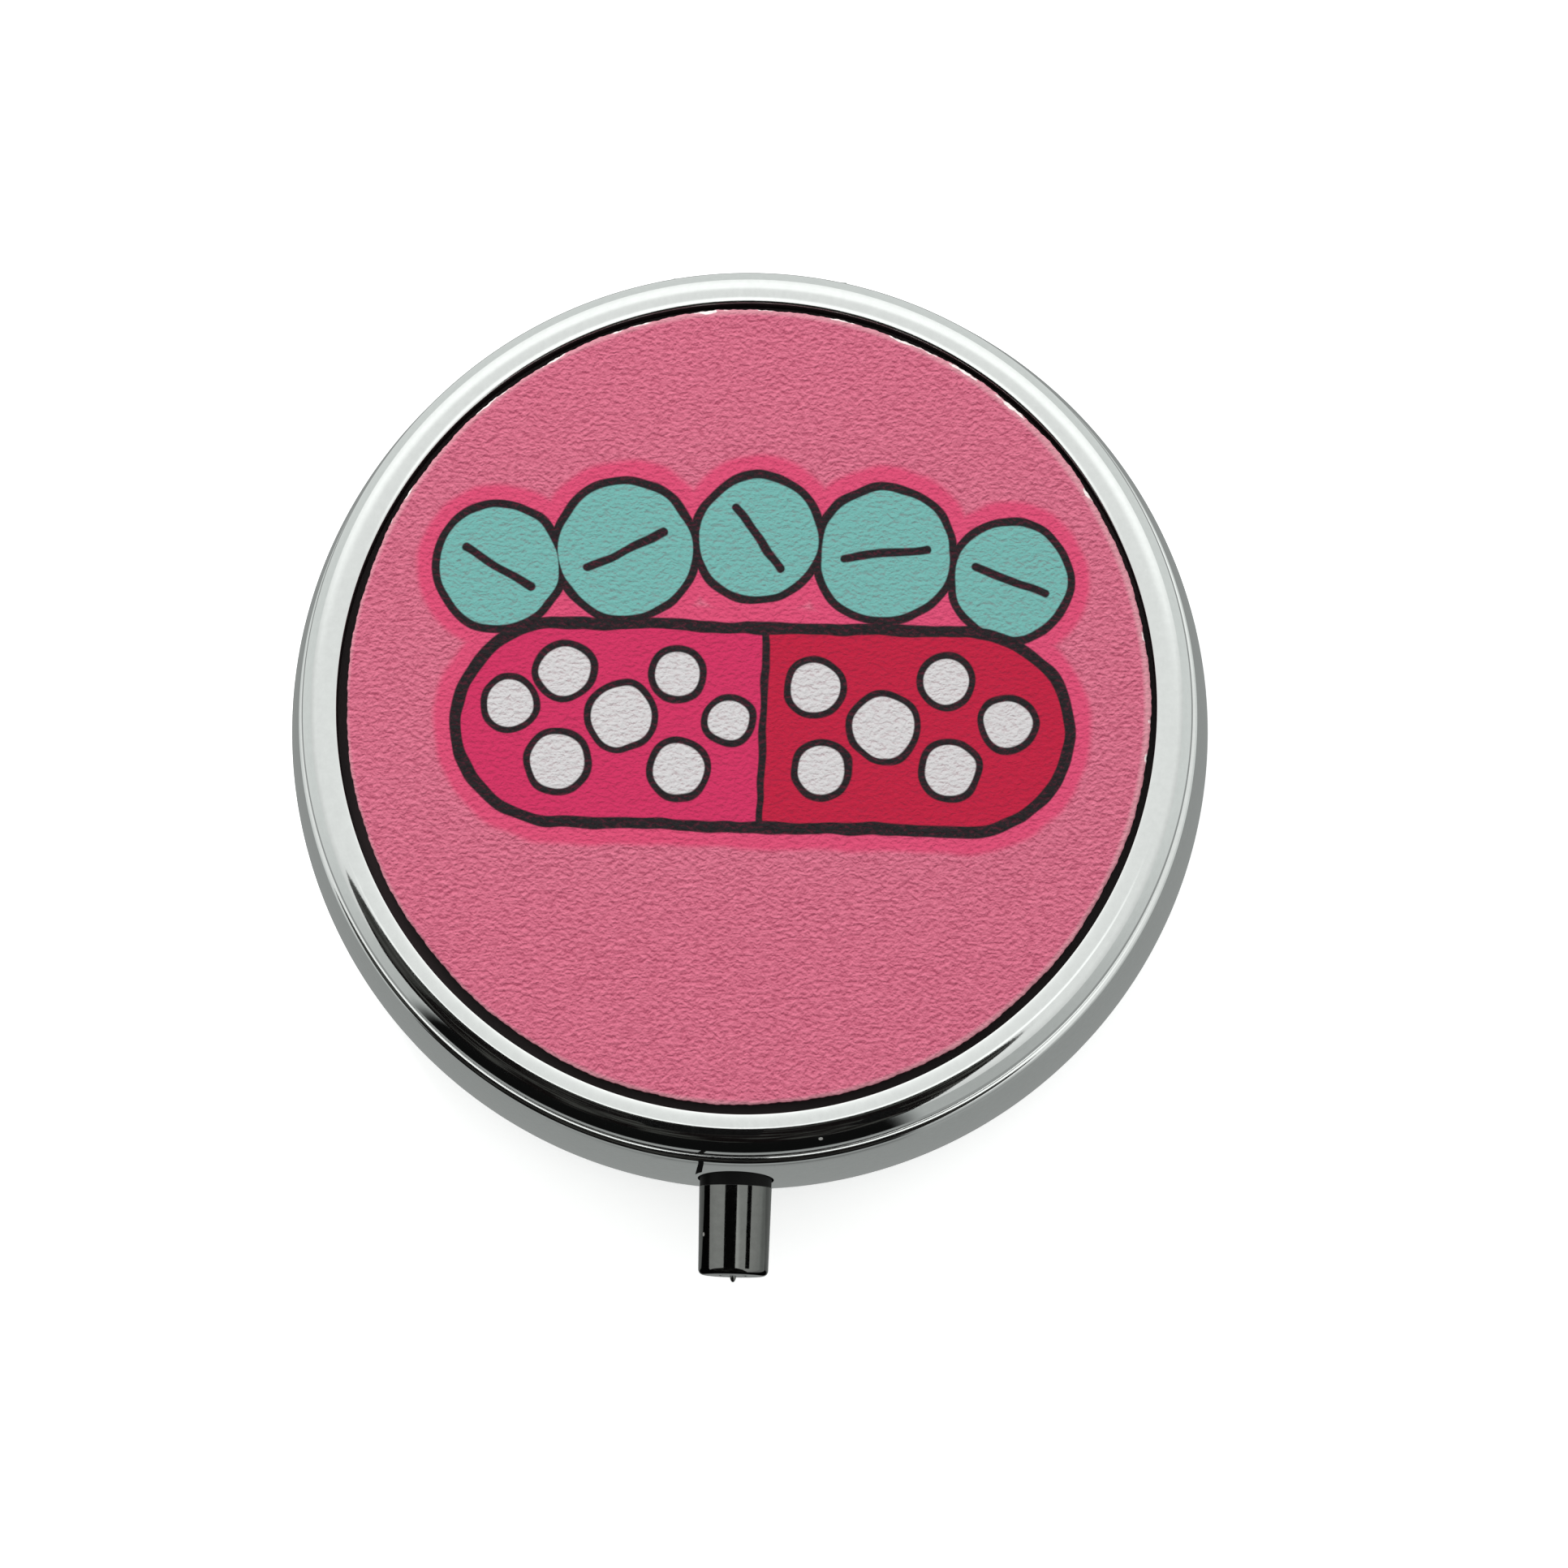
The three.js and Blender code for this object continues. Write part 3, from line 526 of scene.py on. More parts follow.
# ---- The tray -----------------------------------------------------------------------------------------
# A white moulded insert with three compartments round the middle. Its corners and floors are filleted for
# the mould; a walled pocket at the front clears the latch, and the back edge dips under the hinge.
tray_low, tray_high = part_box("pill_tray")
TRAY_RADIUS = tray_high.x
TRAY_BOTTOM = tray_low.z
TRAY_TOP = tray_high.z
TRAY_WALL = 1.0 * MM
TRAY_CHAMFER = 1.4 * MM
TRAY_EDGE = 0.22 * MM
FLOOR_FILLET = 1.6 * MM
POCKET_GAP = 0.4 * MM
POCKET_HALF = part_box("latch_bracket")[1].x + POCKET_GAP
TRAVEL = 1.5 * MM
POCKET_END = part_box("button_stem")[1].y + TRAVEL + POCKET_GAP
SPACE_CENTRE = 11.5 * MM
CORNER_SHARPNESS = 14.0


def compartment_tool(name, middle):
    """The space of one compartment. From a point on its middle line, the distance to its edge in each
    direction is a soft minimum of the distances to the two dividers and to the outer wall. The edge draws
    in round the floor's fillet, and opens out at the top, where the wall's edge is rounded."""
    columns = 240
    angle = np.linspace(0, 2 * np.pi, columns, endpoint=False)
    direction = np.stack([np.cos(angle), np.sin(angle)])
    centre = SPACE_CENTRE * np.array([math.cos(middle), math.sin(middle)])
    fillet = np.radians(np.linspace(0, 90, 9))
    flare = np.radians(np.linspace(0, 90, 5))
    floor = TRAY_BOTTOM + TRAY_WALL
    low_inset, low_rise = FLOOR_FILLET * (1 - np.sin(fillet)), FLOOR_FILLET * (1 - np.cos(fillet))
    top_inset, top_drop = TRAY_EDGE * (np.cos(flare) - 1), TRAY_EDGE * (1 - np.sin(flare))
    inset = np.concatenate([low_inset, top_inset, [-TRAY_EDGE]])[:, None]
    height = np.concatenate([floor + low_rise, TRAY_TOP - top_drop, [TRAY_TOP + MM]])
    reach = TRAY_RADIUS - TRAY_WALL - inset
    along = centre @ direction
    to_wall = -along + np.sqrt(along**2 - centre @ centre + reach**2)
    soft = to_wall**-CORNER_SHARPNESS
    for side in (-1, 1):
        edge = middle + side * math.pi / 3
        inward = np.array([side * math.sin(edge), -side * math.cos(edge)])
        gap = inward @ centre - TRAY_WALL / 2 - inset
        closing = np.maximum(-(inward @ direction), 1e-6)
        soft = soft + (gap / closing) ** -CORNER_SHARPNESS
    distance = soft ** (-1 / CORNER_SHARPNESS)
    x = centre[0] + distance * direction[0]
    y = centre[1] + distance * direction[1]
    z = np.repeat(height[:, None], columns, axis=1)
    points = np.stack([x, y, z], axis=-1).reshape(-1, 3)
    index = np.arange(len(points)).reshape(-1, columns)
    beside = np.roll(index, -1, axis=1)
    faces = np.stack([index[:-1], beside[:-1], beside[1:], index[1:]], axis=-1).reshape(-1, 4).tolist()
    faces.append(index[0][::-1].tolist())
    faces.append(index[-1].tolist())
    return make_piece(name, points, faces)


tray_outline = np.vstack([
    [[0, TRAY_BOTTOM], [TRAY_RADIUS - TRAY_CHAMFER, TRAY_BOTTOM]],
    arc(TRAY_RADIUS - TRAY_CHAMFER, TRAY_BOTTOM + TRAY_CHAMFER, TRAY_CHAMFER, TRAY_CHAMFER, -80, 0, 8),
    arc(TRAY_RADIUS - TRAY_EDGE, TRAY_TOP - TRAY_EDGE, TRAY_EDGE, TRAY_EDGE, 0, 90, 5),
    [[0, TRAY_TOP]],
])
tray = turned("tray", tray_outline, 360)
for number in range(3):
    work(tray, compartment_tool("space", math.radians(30 + 120 * number)))
pocket_wall = block("pocket_wall", (-POCKET_HALF - TRAY_WALL, -TRAY_RADIUS + TRAY_WALL / 2, TRAY_BOTTOM),
                    (POCKET_HALF + TRAY_WALL, POCKET_END + TRAY_WALL, TRAY_TOP))
work(tray, pocket_wall, "UNION")
work(tray, block("pocket", (-POCKET_HALF, -TRAY_RADIUS * 1.1, -MM), (POCKET_HALF, POCKET_END, 2 * TRAY_TOP)))
barrel_room_y = HINGE.y - BARREL_RADIUS - NOTCH_GAP
barrel_room_end = (notch_half, TRAY_RADIUS * 1.1, 1)
work(tray, block("barrel_room", (-notch_half, barrel_room_y, notch_bottom), barrel_room_end))


def moulded_plastic(name, colour, roughness, gloss=0.5):
    """Moulded plastic: slightly uneven gloss and a fine spark-eroded grain."""
    material, tree, shader = new_material(name)
    shader.inputs["Specular IOR Level"].default_value = gloss
    point = object_point(tree)
    uneven = noise(tree, point, 180.0, 3.0)
    shade = tuple(c * 0.94 for c in colour)
    mixed = blend_colour(tree, rescale(tree, uneven, 0.35, 0.65), (*shade, 1), (*colour, 1))
    tree.links.new(mixed, shader.inputs["Base Color"])
    rough = rescale(tree, uneven, 0.3, 0.7, roughness - 0.05, roughness + 0.08)
    tree.links.new(rough, shader.inputs["Roughness"])
    raise_relief(tree, shader, noise(tree, point, 9000.0, 1.0), 0.25, 0.01 * MM)
    return material


WHITE_PLASTIC = moulded_plastic("white_moulding", (0.86, 0.86, 0.83), 0.33)
finish_piece(tray, "case", "white_plastic", WHITE_PLASTIC, "pill_tray")

# ---- The hinge ----------------------------------------------------------------------------------------
# Two zinc-plated leaves, one curved inside the case's wall and one flat under the lid's panel. Their
# rolled knuckles share a pin, and a coiled spring in the middle of the barrel lifts the lid.
LEAF_SHEET = 0.5 * MM
LEAF_RADIUS = RIM_RADIUS - CASE_SHEET - 0.1 * MM
LEAF_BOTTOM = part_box("case_hinge_leaf")[0].z
PIN_RADIUS = 0.5 * MM
BORE_RADIUS = 0.6 * MM
OUTER_KNUCKLE = 1.7 * MM
INNER_KNUCKLE = 1.4 * MM
KNUCKLE_GAP = 0.3 * MM
KNUCKLE_EDGE = 0.12 * MM
outer_start = BARREL_HALF - OUTER_KNUCKLE
inner_end = outer_start - KNUCKLE_GAP
inner_start = inner_end - INNER_KNUCKLE


def brushed_steel(name, colour, roughness):
    """Zinc-plated strip: satin, with rolling lines, a cloudy bloom and hairline rubs."""
    material, tree, shader = new_material(name)
    marks = add_node(tree, "ShaderNodeGroup", {"Rub": 1.0}, node_tree=MARKS)
    point = object_point(tree)
    mapped = add_node(tree, "ShaderNodeMapping", {"Vector": point, "Scale": (400, 9000, 9000)})
    lines = noise(tree, mapped.outputs[0], 1.0, 2.0)
    bloom = rescale(tree, noise(tree, point, 900.0, 4.0), 0.35, 0.65)
    dull = tuple(c * 0.72 for c in colour)
    mixed = blend_colour(tree, bloom, (*dull, 1), (*colour, 1))
    tree.links.new(mixed, shader.inputs["Base Color"])
    rough = compute(tree, "MULTIPLY_ADD", lines, 0.16, roughness - 0.08)
    rough = compute(tree, "MULTIPLY_ADD", marks.outputs["Rubs"], -0.1, rough)
    tree.links.new(rough, shader.inputs["Roughness"])
    shader.inputs["Metallic"].default_value = 1.0
    raise_relief(tree, shader, lines, 0.12, 0.01 * MM)
    return material


STEEL_STRIP = brushed_steel("zinc_strip", (0.62, 0.63, 0.61), 0.34)
SPRING_WIRE = brushed_steel("spring_wire", (0.5, 0.5, 0.51), 0.26)


def knuckle(name, start, stop):
    """A rolled knuckle: a short tube about the pin with broken edges."""
    eased_radius = BARREL_RADIUS - KNUCKLE_EDGE
    outline = [[BORE_RADIUS, start], [eased_radius, start], [BARREL_RADIUS, start + KNUCKLE_EDGE],
               [BARREL_RADIUS, stop - KNUCKLE_EDGE], [eased_radius, stop], [BORE_RADIUS, stop]]
    return turned(name, outline, 96, "X", HINGE)


def bored(piece):
    """Clears the pin's bore through everything joined to a leaf."""
    reach = 1.2 * BARREL_HALF
    outline = [[0, -reach], [BORE_RADIUS, -reach], [BORE_RADIUS, reach], [0, reach]]
    return work(piece, turned("bore", outline, 96, "X", HINGE))


leaf_top = HINGE.z - BARREL_RADIUS - NOTCH_GAP
ring_outline = [[LEAF_RADIUS - LEAF_SHEET, LEAF_BOTTOM], [LEAF_RADIUS, LEAF_BOTTOM], [LEAF_RADIUS, HINGE.z],
                [LEAF_RADIUS - LEAF_SHEET, HINGE.z]]
case_leaf = turned("case_leaf", ring_outline, 720)
work(case_leaf, block("leaf_width", (-BARREL_HALF, 0, 0), (BARREL_HALF, 1, 1)), "INTERSECT")
room = outer_start - 0.05 * MM
work(case_leaf, block("leaf_gap", (-room, 0, leaf_top), (room, 1, 1)))
work(case_leaf, knuckle("left_knuckle", -BARREL_HALF, -outer_start), "UNION")
work(case_leaf, knuckle("right_knuckle", outer_start, BARREL_HALF), "UNION")
bored(case_leaf)
finish_piece(case_leaf, "case", "zinc_steel", STEEL_STRIP, "case_hinge_leaf")

leaf_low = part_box("lid_hinge_leaf")[0]
under_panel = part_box("mirror_pad")[1].z
plate_back = HINGE.y - BARREL_RADIUS - KNUCKLE_GAP
plate_low = under_panel - LEAF_SHEET
lid_leaf = block("lid_leaf", (-BARREL_HALF, leaf_low.y, plate_low), (BARREL_HALF, plate_back, under_panel))
for side in (-1, 1):
    ends = sorted((side * inner_start, side * inner_end))
    arm = block("arm", (ends[0], leaf_low.y, plate_low), (ends[1], HINGE.y - BORE_RADIUS, under_panel))
    work(lid_leaf, arm, "UNION")
    web_low = (ends[0], HINGE.y - BARREL_RADIUS, HINGE.z)
    work(lid_leaf, block("web", web_low, (ends[1], HINGE.y - BORE_RADIUS, under_panel)), "UNION")
    work(lid_leaf, knuckle("inner_knuckle", *ends), "UNION")
bored(lid_leaf)
finish_piece(lid_leaf, "lid", "zinc_steel", STEEL_STRIP, "lid_hinge_leaf")

pin_edge = 0.1 * MM
pin_eased, pin_side = PIN_RADIUS - pin_edge, BARREL_HALF - pin_edge
pin_outline = [[0, -BARREL_HALF], [pin_eased, -BARREL_HALF], [PIN_RADIUS, -pin_side],
               [PIN_RADIUS, pin_side], [pin_eased, BARREL_HALF], [0, BARREL_HALF]]
pin = turned("pin", pin_outline, 64, "X", HINGE)
settle(pin)
finish_piece(pin, "case", "chrome", CHROME, "hinge_pin")


def wire(name, path, outward, radius, sides=14):
    """A round wire along a path. Each section is a circle in the plane across the path: its first axis is
    the outward direction made square to the path, and its second is square to both."""
    path = np.asarray(path, float)
    tangent = np.gradient(path, axis=0)
    tangent /= np.linalg.norm(tangent, axis=1, keepdims=True)
    outward = outward - (outward * tangent).sum(1, keepdims=True) * tangent
    outward /= np.linalg.norm(outward, axis=1, keepdims=True)
    across = np.cross(tangent, outward)
    angle = np.linspace(0, 2 * np.pi, sides, endpoint=False)
    rings = (path[:, None] + radius * np.cos(angle)[None, :, None] * outward[:, None]
             + radius * np.sin(angle)[None, :, None] * across[:, None])
    index = np.arange(rings.shape[0] * sides).reshape(-1, sides)
    beside = np.roll(index, -1, axis=1)
    faces = np.stack([index[:-1], beside[:-1], beside[1:], index[1:]], axis=-1).reshape(-1, 4).tolist()
    faces += [index[0][::-1].tolist(), index[-1].tolist()]
    return make_piece(name, rings.reshape(-1, 3), faces)


TORSION_RADIUS = 0.7 * MM
TORSION_WIRE = 0.12 * MM
TORSION_LEG = 1.1 * MM
torsion_half = inner_start - KNUCKLE_GAP - TORSION_WIRE
TORSION_TURNS = 6.25
TORSION_STEPS = 440
LEG_STEPS = 12
coil_angle = np.linspace(0, TORSION_TURNS * 2 * np.pi, TORSION_STEPS)
coil = np.stack([
    np.linspace(-torsion_half, torsion_half, TORSION_STEPS),
    HINGE.y + TORSION_RADIUS * np.cos(coil_angle),
    HINGE.z + TORSION_RADIUS * np.sin(coil_angle),
], axis=1)
coil_outward = np.stack([0 * coil_angle, np.cos(coil_angle), np.sin(coil_angle)], axis=1)
leg = np.linspace(1, 0.04, LEG_STEPS)[:, None] * TORSION_LEG
down_leg = coil[0] + leg * [0, 0, -1]
up_leg = coil[-1] + leg[::-1] * [0, -1, 0]
spring_path = np.vstack([down_leg, coil, up_leg])
spring_outward = np.pad(coil_outward, ((LEG_STEPS, LEG_STEPS), (0, 0)), mode="edge")
hinge_coil = wire("hinge_coil", spring_path, spring_outward, TORSION_WIRE)
hinge_coil.data.materials.append(SPRING_WIRE)
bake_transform(hinge_coil)
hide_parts("hinge_spring")

# ---- The latch ----------------------------------------------------------------------------------------
# Small zinc-plated pressings with rolled edges: the bracket on the case floor, the catch on the button's
# stem, and the hook under the lid. A spring-steel clip in the stem's groove stops it at the bracket.
PRESSING_EDGE = 0.08 * MM


def eased(name, node, width):
    """A copy of a flat-sided piece with its loose triangles merged, its flat faces made whole, and its
    sharp edges rounded over."""
    made = bpy.data.objects.new(name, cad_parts[node].data.copy())
    scene.collection.objects.link(made)
    weld = made.modifiers.new("weld", "WELD")
    weld.merge_threshold = 1e-6
    flat = made.modifiers.new("flat", "DECIMATE")
    flat.decimate_type = "DISSOLVE"
    flat.angle_limit = math.radians(1)
    edge = made.modifiers.new("edge", "BEVEL")
    edge.width = width
    edge.segments = 3
    edge.limit_method = "ANGLE"
    edge.angle_limit = math.radians(40)
    edge.harden_normals = False
    return settle(made)


for name, node, body in (("bracket", "latch_bracket", "case"), ("catch", "release_catch", "button"),
                         ("hook", "latch_hook", "lid")):
    finish_piece(eased(name, node, PRESSING_EDGE), body, "zinc_steel", STEEL_STRIP, node)
clip = eased("clip", "stem_clip", PRESSING_EDGE / 2)
finish_piece(clip, "button", "spring_steel", SPRING_WIRE, "stem_clip")

# ---- The button ---------------------------------------------------------------------------------------
# A plated rod with a slight taper, pressed on a stem that ends flush with it in a small turning pip. Behind
# it a black collar fills the hole in the wall; its black is painted shade and painted dark reflection round
# the button's root. The return spring sits between collar and bracket.
collar_low, collar_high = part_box("button_collar")
stem_low, stem_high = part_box("button_stem")
BUTTON_BACK = -button_high.y
BUTTON_TIP = -button_low.y
TIP_RADIUS = BUTTON_RADIUS - 0.07 * MM
TIP_ROUND = 0.3 * MM
STEM_RADIUS = 0.65 * MM
STEM_BORE = 0.77 * MM
HEAD_RADIUS = 0.95 * MM
HEAD_THICKNESS = 0.3 * MM
PIP_RADIUS = 0.17 * MM
on_axis = (0, 0, BUTTON_HEIGHT)

DARK_CHROME = polished_metal("dark_plate", (0.22, 0.225, 0.215), 0.07, mottle=0.12)
SHADE_BLACK_PLASTIC = moulded_plastic("shade_black_moulding", (0.006, 0.006, 0.006), 0.5, gloss=0.12)

rod_outline = np.vstack([
    [[STEM_BORE, BUTTON_BACK], [BUTTON_RADIUS, BUTTON_BACK]],
    arc(TIP_RADIUS - TIP_ROUND, BUTTON_TIP - TIP_ROUND, TIP_ROUND, TIP_ROUND, 0, 90, 8),
    [[STEM_BORE, BUTTON_TIP]],
])
rod = turned("button_rod", rod_outline, 256, "-Y", on_axis)
settle(rod)
finish_piece(rod, "button", "dark_chrome", DARK_CHROME, "push_button")

# The collar's black is painted shade and painted dark reflection at the button's root.
collar_round = 0.15 * MM
collar_outline = [[STEM_BORE, -collar_high.y], [collar_high.x - collar_round, -collar_high.y],
                  [collar_high.x, -collar_high.y + collar_round], [collar_high.x, -collar_low.y],
                  [STEM_BORE, -collar_low.y]]
collar = turned("collar", collar_outline, 192, "-Y", on_axis)
settle(collar)
finish_piece(collar, "button", "black_plastic", SHADE_BLACK_PLASTIC, "button_collar")

stem_end = -stem_high.y
clip_low, clip_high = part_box("stem_clip")
groove_radius = 0.48 * MM
groove_gap = 0.02 * MM
stem_outline = np.vstack([
    [[0, stem_end], [HEAD_RADIUS, stem_end], [HEAD_RADIUS, stem_end + HEAD_THICKNESS],
     [STEM_RADIUS, stem_end + HEAD_THICKNESS], [STEM_RADIUS, -clip_high.y - groove_gap],
     [groove_radius, -clip_high.y - groove_gap], [groove_radius, -clip_low.y + groove_gap],
     [STEM_RADIUS, -clip_low.y + groove_gap], [STEM_RADIUS, BUTTON_TIP]],
    arc(0, BUTTON_TIP, PIP_RADIUS, -stem_low.y - BUTTON_TIP, 0, 90, 12),
])
stem_outline[-1, 0] = 0
stem = turned("stem", stem_outline, 96, "-Y", on_axis)
settle(stem)
finish_piece(stem, "button", "dark_chrome", DARK_CHROME, "button_stem")
for piece in (rod, collar, stem):
    piece.visible_glossy = False

spring_low, spring_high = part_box("button_spring")
RETURN_WIRE = 0.13 * MM
RETURN_RADIUS = spring_high.x - RETURN_WIRE
RETURN_TURNS = 5
RETURN_STEPS = 400
return_angle = np.linspace(0, RETURN_TURNS * 2 * np.pi, RETURN_STEPS)
return_path = np.stack([
    RETURN_RADIUS * np.cos(return_angle),
    np.linspace(spring_low.y + RETURN_WIRE, spring_high.y - RETURN_WIRE, RETURN_STEPS),
    BUTTON_HEIGHT + RETURN_RADIUS * np.sin(return_angle),
], axis=1)
return_outward = np.stack([np.cos(return_angle), 0 * return_angle, np.sin(return_angle)], axis=1)
return_coil = wire("return_coil", return_path, return_outward, RETURN_WIRE)
finish_piece(return_coil, "case", "spring_steel", SPRING_WIRE, "button_spring")
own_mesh(return_coil)

# ---- The lid ------------------------------------------------------------------------------------------
# A thin pressed cap, polished and chromed like the case. Its skirt turns in over a rounded bead to a lip,
# and drops to a sunk panel for the disc. At the back the skirt is cut away round the hinge's barrel.
LID_SHEET = 0.5 * MM
SKIRT_RADIUS = lid_high.x
SKIRT_BOTTOM = lid_low.z
CROWN_TOP = lid_high.z
BEAD_WIDTH = 2.0 * MM
CROWN_SHARE = 0.36
SKIRT_HEIGHT = 1.3 * MM
LIP_DROP = 0.08 * MM
PANEL_TOP = CROWN_TOP - 1.35 * MM
SKIRT_EDGE = 0.1 * MM
lip_radius = SKIRT_RADIUS - BEAD_WIDTH
crown_radius = lip_radius + BEAD_WIDTH * CROWN_SHARE
bend_bottom = SKIRT_BOTTOM + SKIRT_HEIGHT
outer_run = SKIRT_RADIUS - crown_radius
inner_run = crown_radius - lip_radius
bend_rise = CROWN_TOP - bend_bottom
panel_under = PANEL_TOP - LID_SHEET
inside_top = CROWN_TOP - LID_SHEET
lid_outline = np.vstack([
    [[0, panel_under], [lip_radius + LID_SHEET, panel_under]],
    arc(crown_radius, inside_top - LIP_DROP / 2, inner_run - LID_SHEET, LIP_DROP / 2, 180, 90, 8),
    arc(crown_radius, bend_bottom, outer_run - LID_SHEET, bend_rise - LID_SHEET, 90, 0, 16)[1:],
    [[SKIRT_RADIUS - LID_SHEET, SKIRT_BOTTOM]],
    arc(SKIRT_RADIUS - SKIRT_EDGE, SKIRT_BOTTOM + SKIRT_EDGE, SKIRT_EDGE, SKIRT_EDGE, -90, 0, 4),
    arc(crown_radius, bend_bottom, outer_run, bend_rise, 0, 90, 30),
    arc(crown_radius, CROWN_TOP - LIP_DROP, inner_run, LIP_DROP, 90, 180, 16)[1:],
    [[lip_radius, PANEL_TOP], [0, PANEL_TOP]],
])
lid = turned("lid", lid_outline)
notch_top = HINGE.z + BARREL_RADIUS + NOTCH_GAP
lid_notch_start = (-notch_half, lip_radius + 0.02 * MM, -1)
work(lid, block("lid_notch", lid_notch_start, (notch_half, past_back, notch_top)))

LID_CHROME = polished_metal("lid_chrome", (0.9, 0.915, 0.905), 0.06)
tree = LID_CHROME.node_tree
shader = tree.nodes["Principled BSDF"]
place = add_node(tree, "ShaderNodeSeparateXYZ", {0: object_point(tree)})
squares = [compute(tree, "MULTIPLY", place.outputs[axis], place.outputs[axis]) for axis in "XY"]
from_axis = compute(tree, "SQRT", compute(tree, "ADD", *squares))
# Inside the lip, down to the panel, the chrome is painted dark: painted shade in the groove round the disc,
# and glue on the panel that the disc covers.
within_lip = rescale(tree, from_axis, lip_radius + 0.03 * MM, lip_radius + 0.01 * MM)
sunk = rescale(tree, place.outputs["Z"], CROWN_TOP - LIP_DROP, CROWN_TOP - 0.22 * MM)
on_top = rescale(tree, place.outputs["Z"], panel_under + 0.1 * MM, panel_under + 0.2 * MM)
glue_and_groove_shade = compute(tree, "MULTIPLY", compute(tree, "MULTIPLY", within_lip, sunk), on_top)
# The skirt's bottom half millimetre darkens towards its edge: painted shade at the seam with the case.
seam_shade = rescale(tree, place.outputs["Z"], SKIRT_BOTTOM + 0.5 * MM, SKIRT_BOTTOM + 0.1 * MM, 0.0, 0.8)
# Where either painted shade lies, the chrome turns dark, rough and not metallic.
painted_lid_shade = compute(tree, "MAXIMUM", glue_and_groove_shade, seam_shade)
for socket, shade_setting in (("Base Color", (0.03, 0.018, 0.02, 1)), ("Roughness", 0.6), ("Metallic", 0.0)):
    clean = shader.inputs[socket].links[0].from_socket
    if socket == "Base Color":
        mixed = blend_colour(tree, painted_lid_shade, clean, shade_setting)
    else:
        mixed = add_node(tree, "ShaderNodeMix", {0: painted_lid_shade, 2: clean, 3: shade_setting}).outputs[0]
    tree.links.new(mixed, shader.inputs[socket])
finish_piece(lid, "lid", "chrome", LID_CHROME, "lid_shell")

# ---- The mirror ---------------------------------------------------------------------------------------
# A round of silvered glass with a ground edge, stuck under the lid's panel on a pad of white foam.
mirror_low, mirror_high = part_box("mirror_glass")
MIRROR_EDGE = 0.35 * MM
mirror_outline = [[0, mirror_low.z], [mirror_high.x - MIRROR_EDGE, mirror_low.z],
                  [mirror_high.x, mirror_low.z + MIRROR_EDGE / 2], [mirror_high.x, mirror_high.z],
                  [0, mirror_high.z]]
mirror = turned("mirror", mirror_outline, 360)
settle(mirror, math.radians(15))
SILVER = polished_metal("silvering", (0.88, 0.9, 0.9), 0.015, mottle=0.01, bump=0.0)
finish_piece(mirror, "lid", "mirror", SILVER, "mirror_glass")

FOAM = moulded_plastic("foam_tape", (0.78, 0.78, 0.76), 0.85)
GLUE = moulded_plastic("glue_sheet", (0.62, 0.58, 0.48), 0.6)
for node, material in (("mirror_pad", FOAM), ("face_glue", GLUE)):
    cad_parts[node].data.materials.clear()
    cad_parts[node].data.materials.append(material)

# ---- The card under the disc --------------------------------------------------------------------------
# Pressed grey board, cut a little smaller than the leathercloth that covers it, with a fibrous cut edge.
card_low, card_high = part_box("face_card")
CARD_EDGE = 0.06 * MM
card_eased = card_high.x - CARD_EDGE
board_outline = [[0, card_low.z], [card_eased, card_low.z], [card_high.x, card_low.z + CARD_EDGE],
                 [card_high.x, card_high.z - CARD_EDGE], [card_eased, card_high.z], [0, card_high.z]]
board = turned("board", board_outline, 360)
settle(board)
BOARD, tree, shader = new_material("pressed_board")
fibre = noise(tree, object_point(tree), 4000.0, 4.0)
board_colour = blend_colour(tree, fibre, (0.03, 0.02, 0.02, 1), (0.12, 0.1, 0.1, 1))
tree.links.new(board_colour, shader.inputs["Base Color"])
tree.links.new(rescale(tree, fibre, 0.3, 0.7, 0.8, 0.95), shader.inputs["Roughness"])
finish_piece(board, "lid", "card", BOARD, "face_card")

# ---- The printed disc ---------------------------------------------------------------------------------
# Leathercloth: a fine pebbled grain pressed into a soft sheet, printed, and punched out to a round. The
# print is a plain two-tone capsule with pellets in it and a row of scored tablets over it.
face_low, face_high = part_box("face_disc")
FACE_RADIUS = face_high.x
FACE_TOP = face_high.z
FACE_BOTTOM = face_low.z
FACE_ROUND = 0.16 * MM
GRAIN_CELL = 0.5 * MM
GRAIN_DEPTH = 0.012 * MM
GRAIN_SEED = 7
GRID = 290
OFF_CENTRE = np.array([0.09, 0.07, 0]) * MM
# The cut edge's waves: height in millimetres, how many go round, and where each starts.
EDGE_WAVES = ((0.012, 61, 0), (0.012, 143, 1), (0.012, 311, 2),
              (0.025, 3, 0.5), (0.025, 7, 2), (0.025, 19, 1))


def pebbles(x, y, cell, seed):
    """How far each point is from the edge of its pebble: every square of a grid holds one point placed at
    random, and the value is the distance to the second nearest point less that to the nearest, in cells."""
    random = np.random.default_rng(seed)
    table = random.random((256, 256, 2))
    column, row = np.floor(x / cell).astype(int), np.floor(y / cell).astype(int)
    nearest = np.full(x.shape, 9.0)
    second = np.full(x.shape, 9.0)
    for across in (-1, 0, 1):
        for up in (-1, 0, 1):
            place = table[(column + across) % 256, (row + up) % 256]
            dx = column + across + place[..., 0] - x / cell
            dy = row + up + place[..., 1] - y / cell
            distance = np.hypot(dx, dy)
            second = np.minimum(second, np.maximum(nearest, distance))
            nearest = np.minimum(nearest, distance)
    return second - nearest


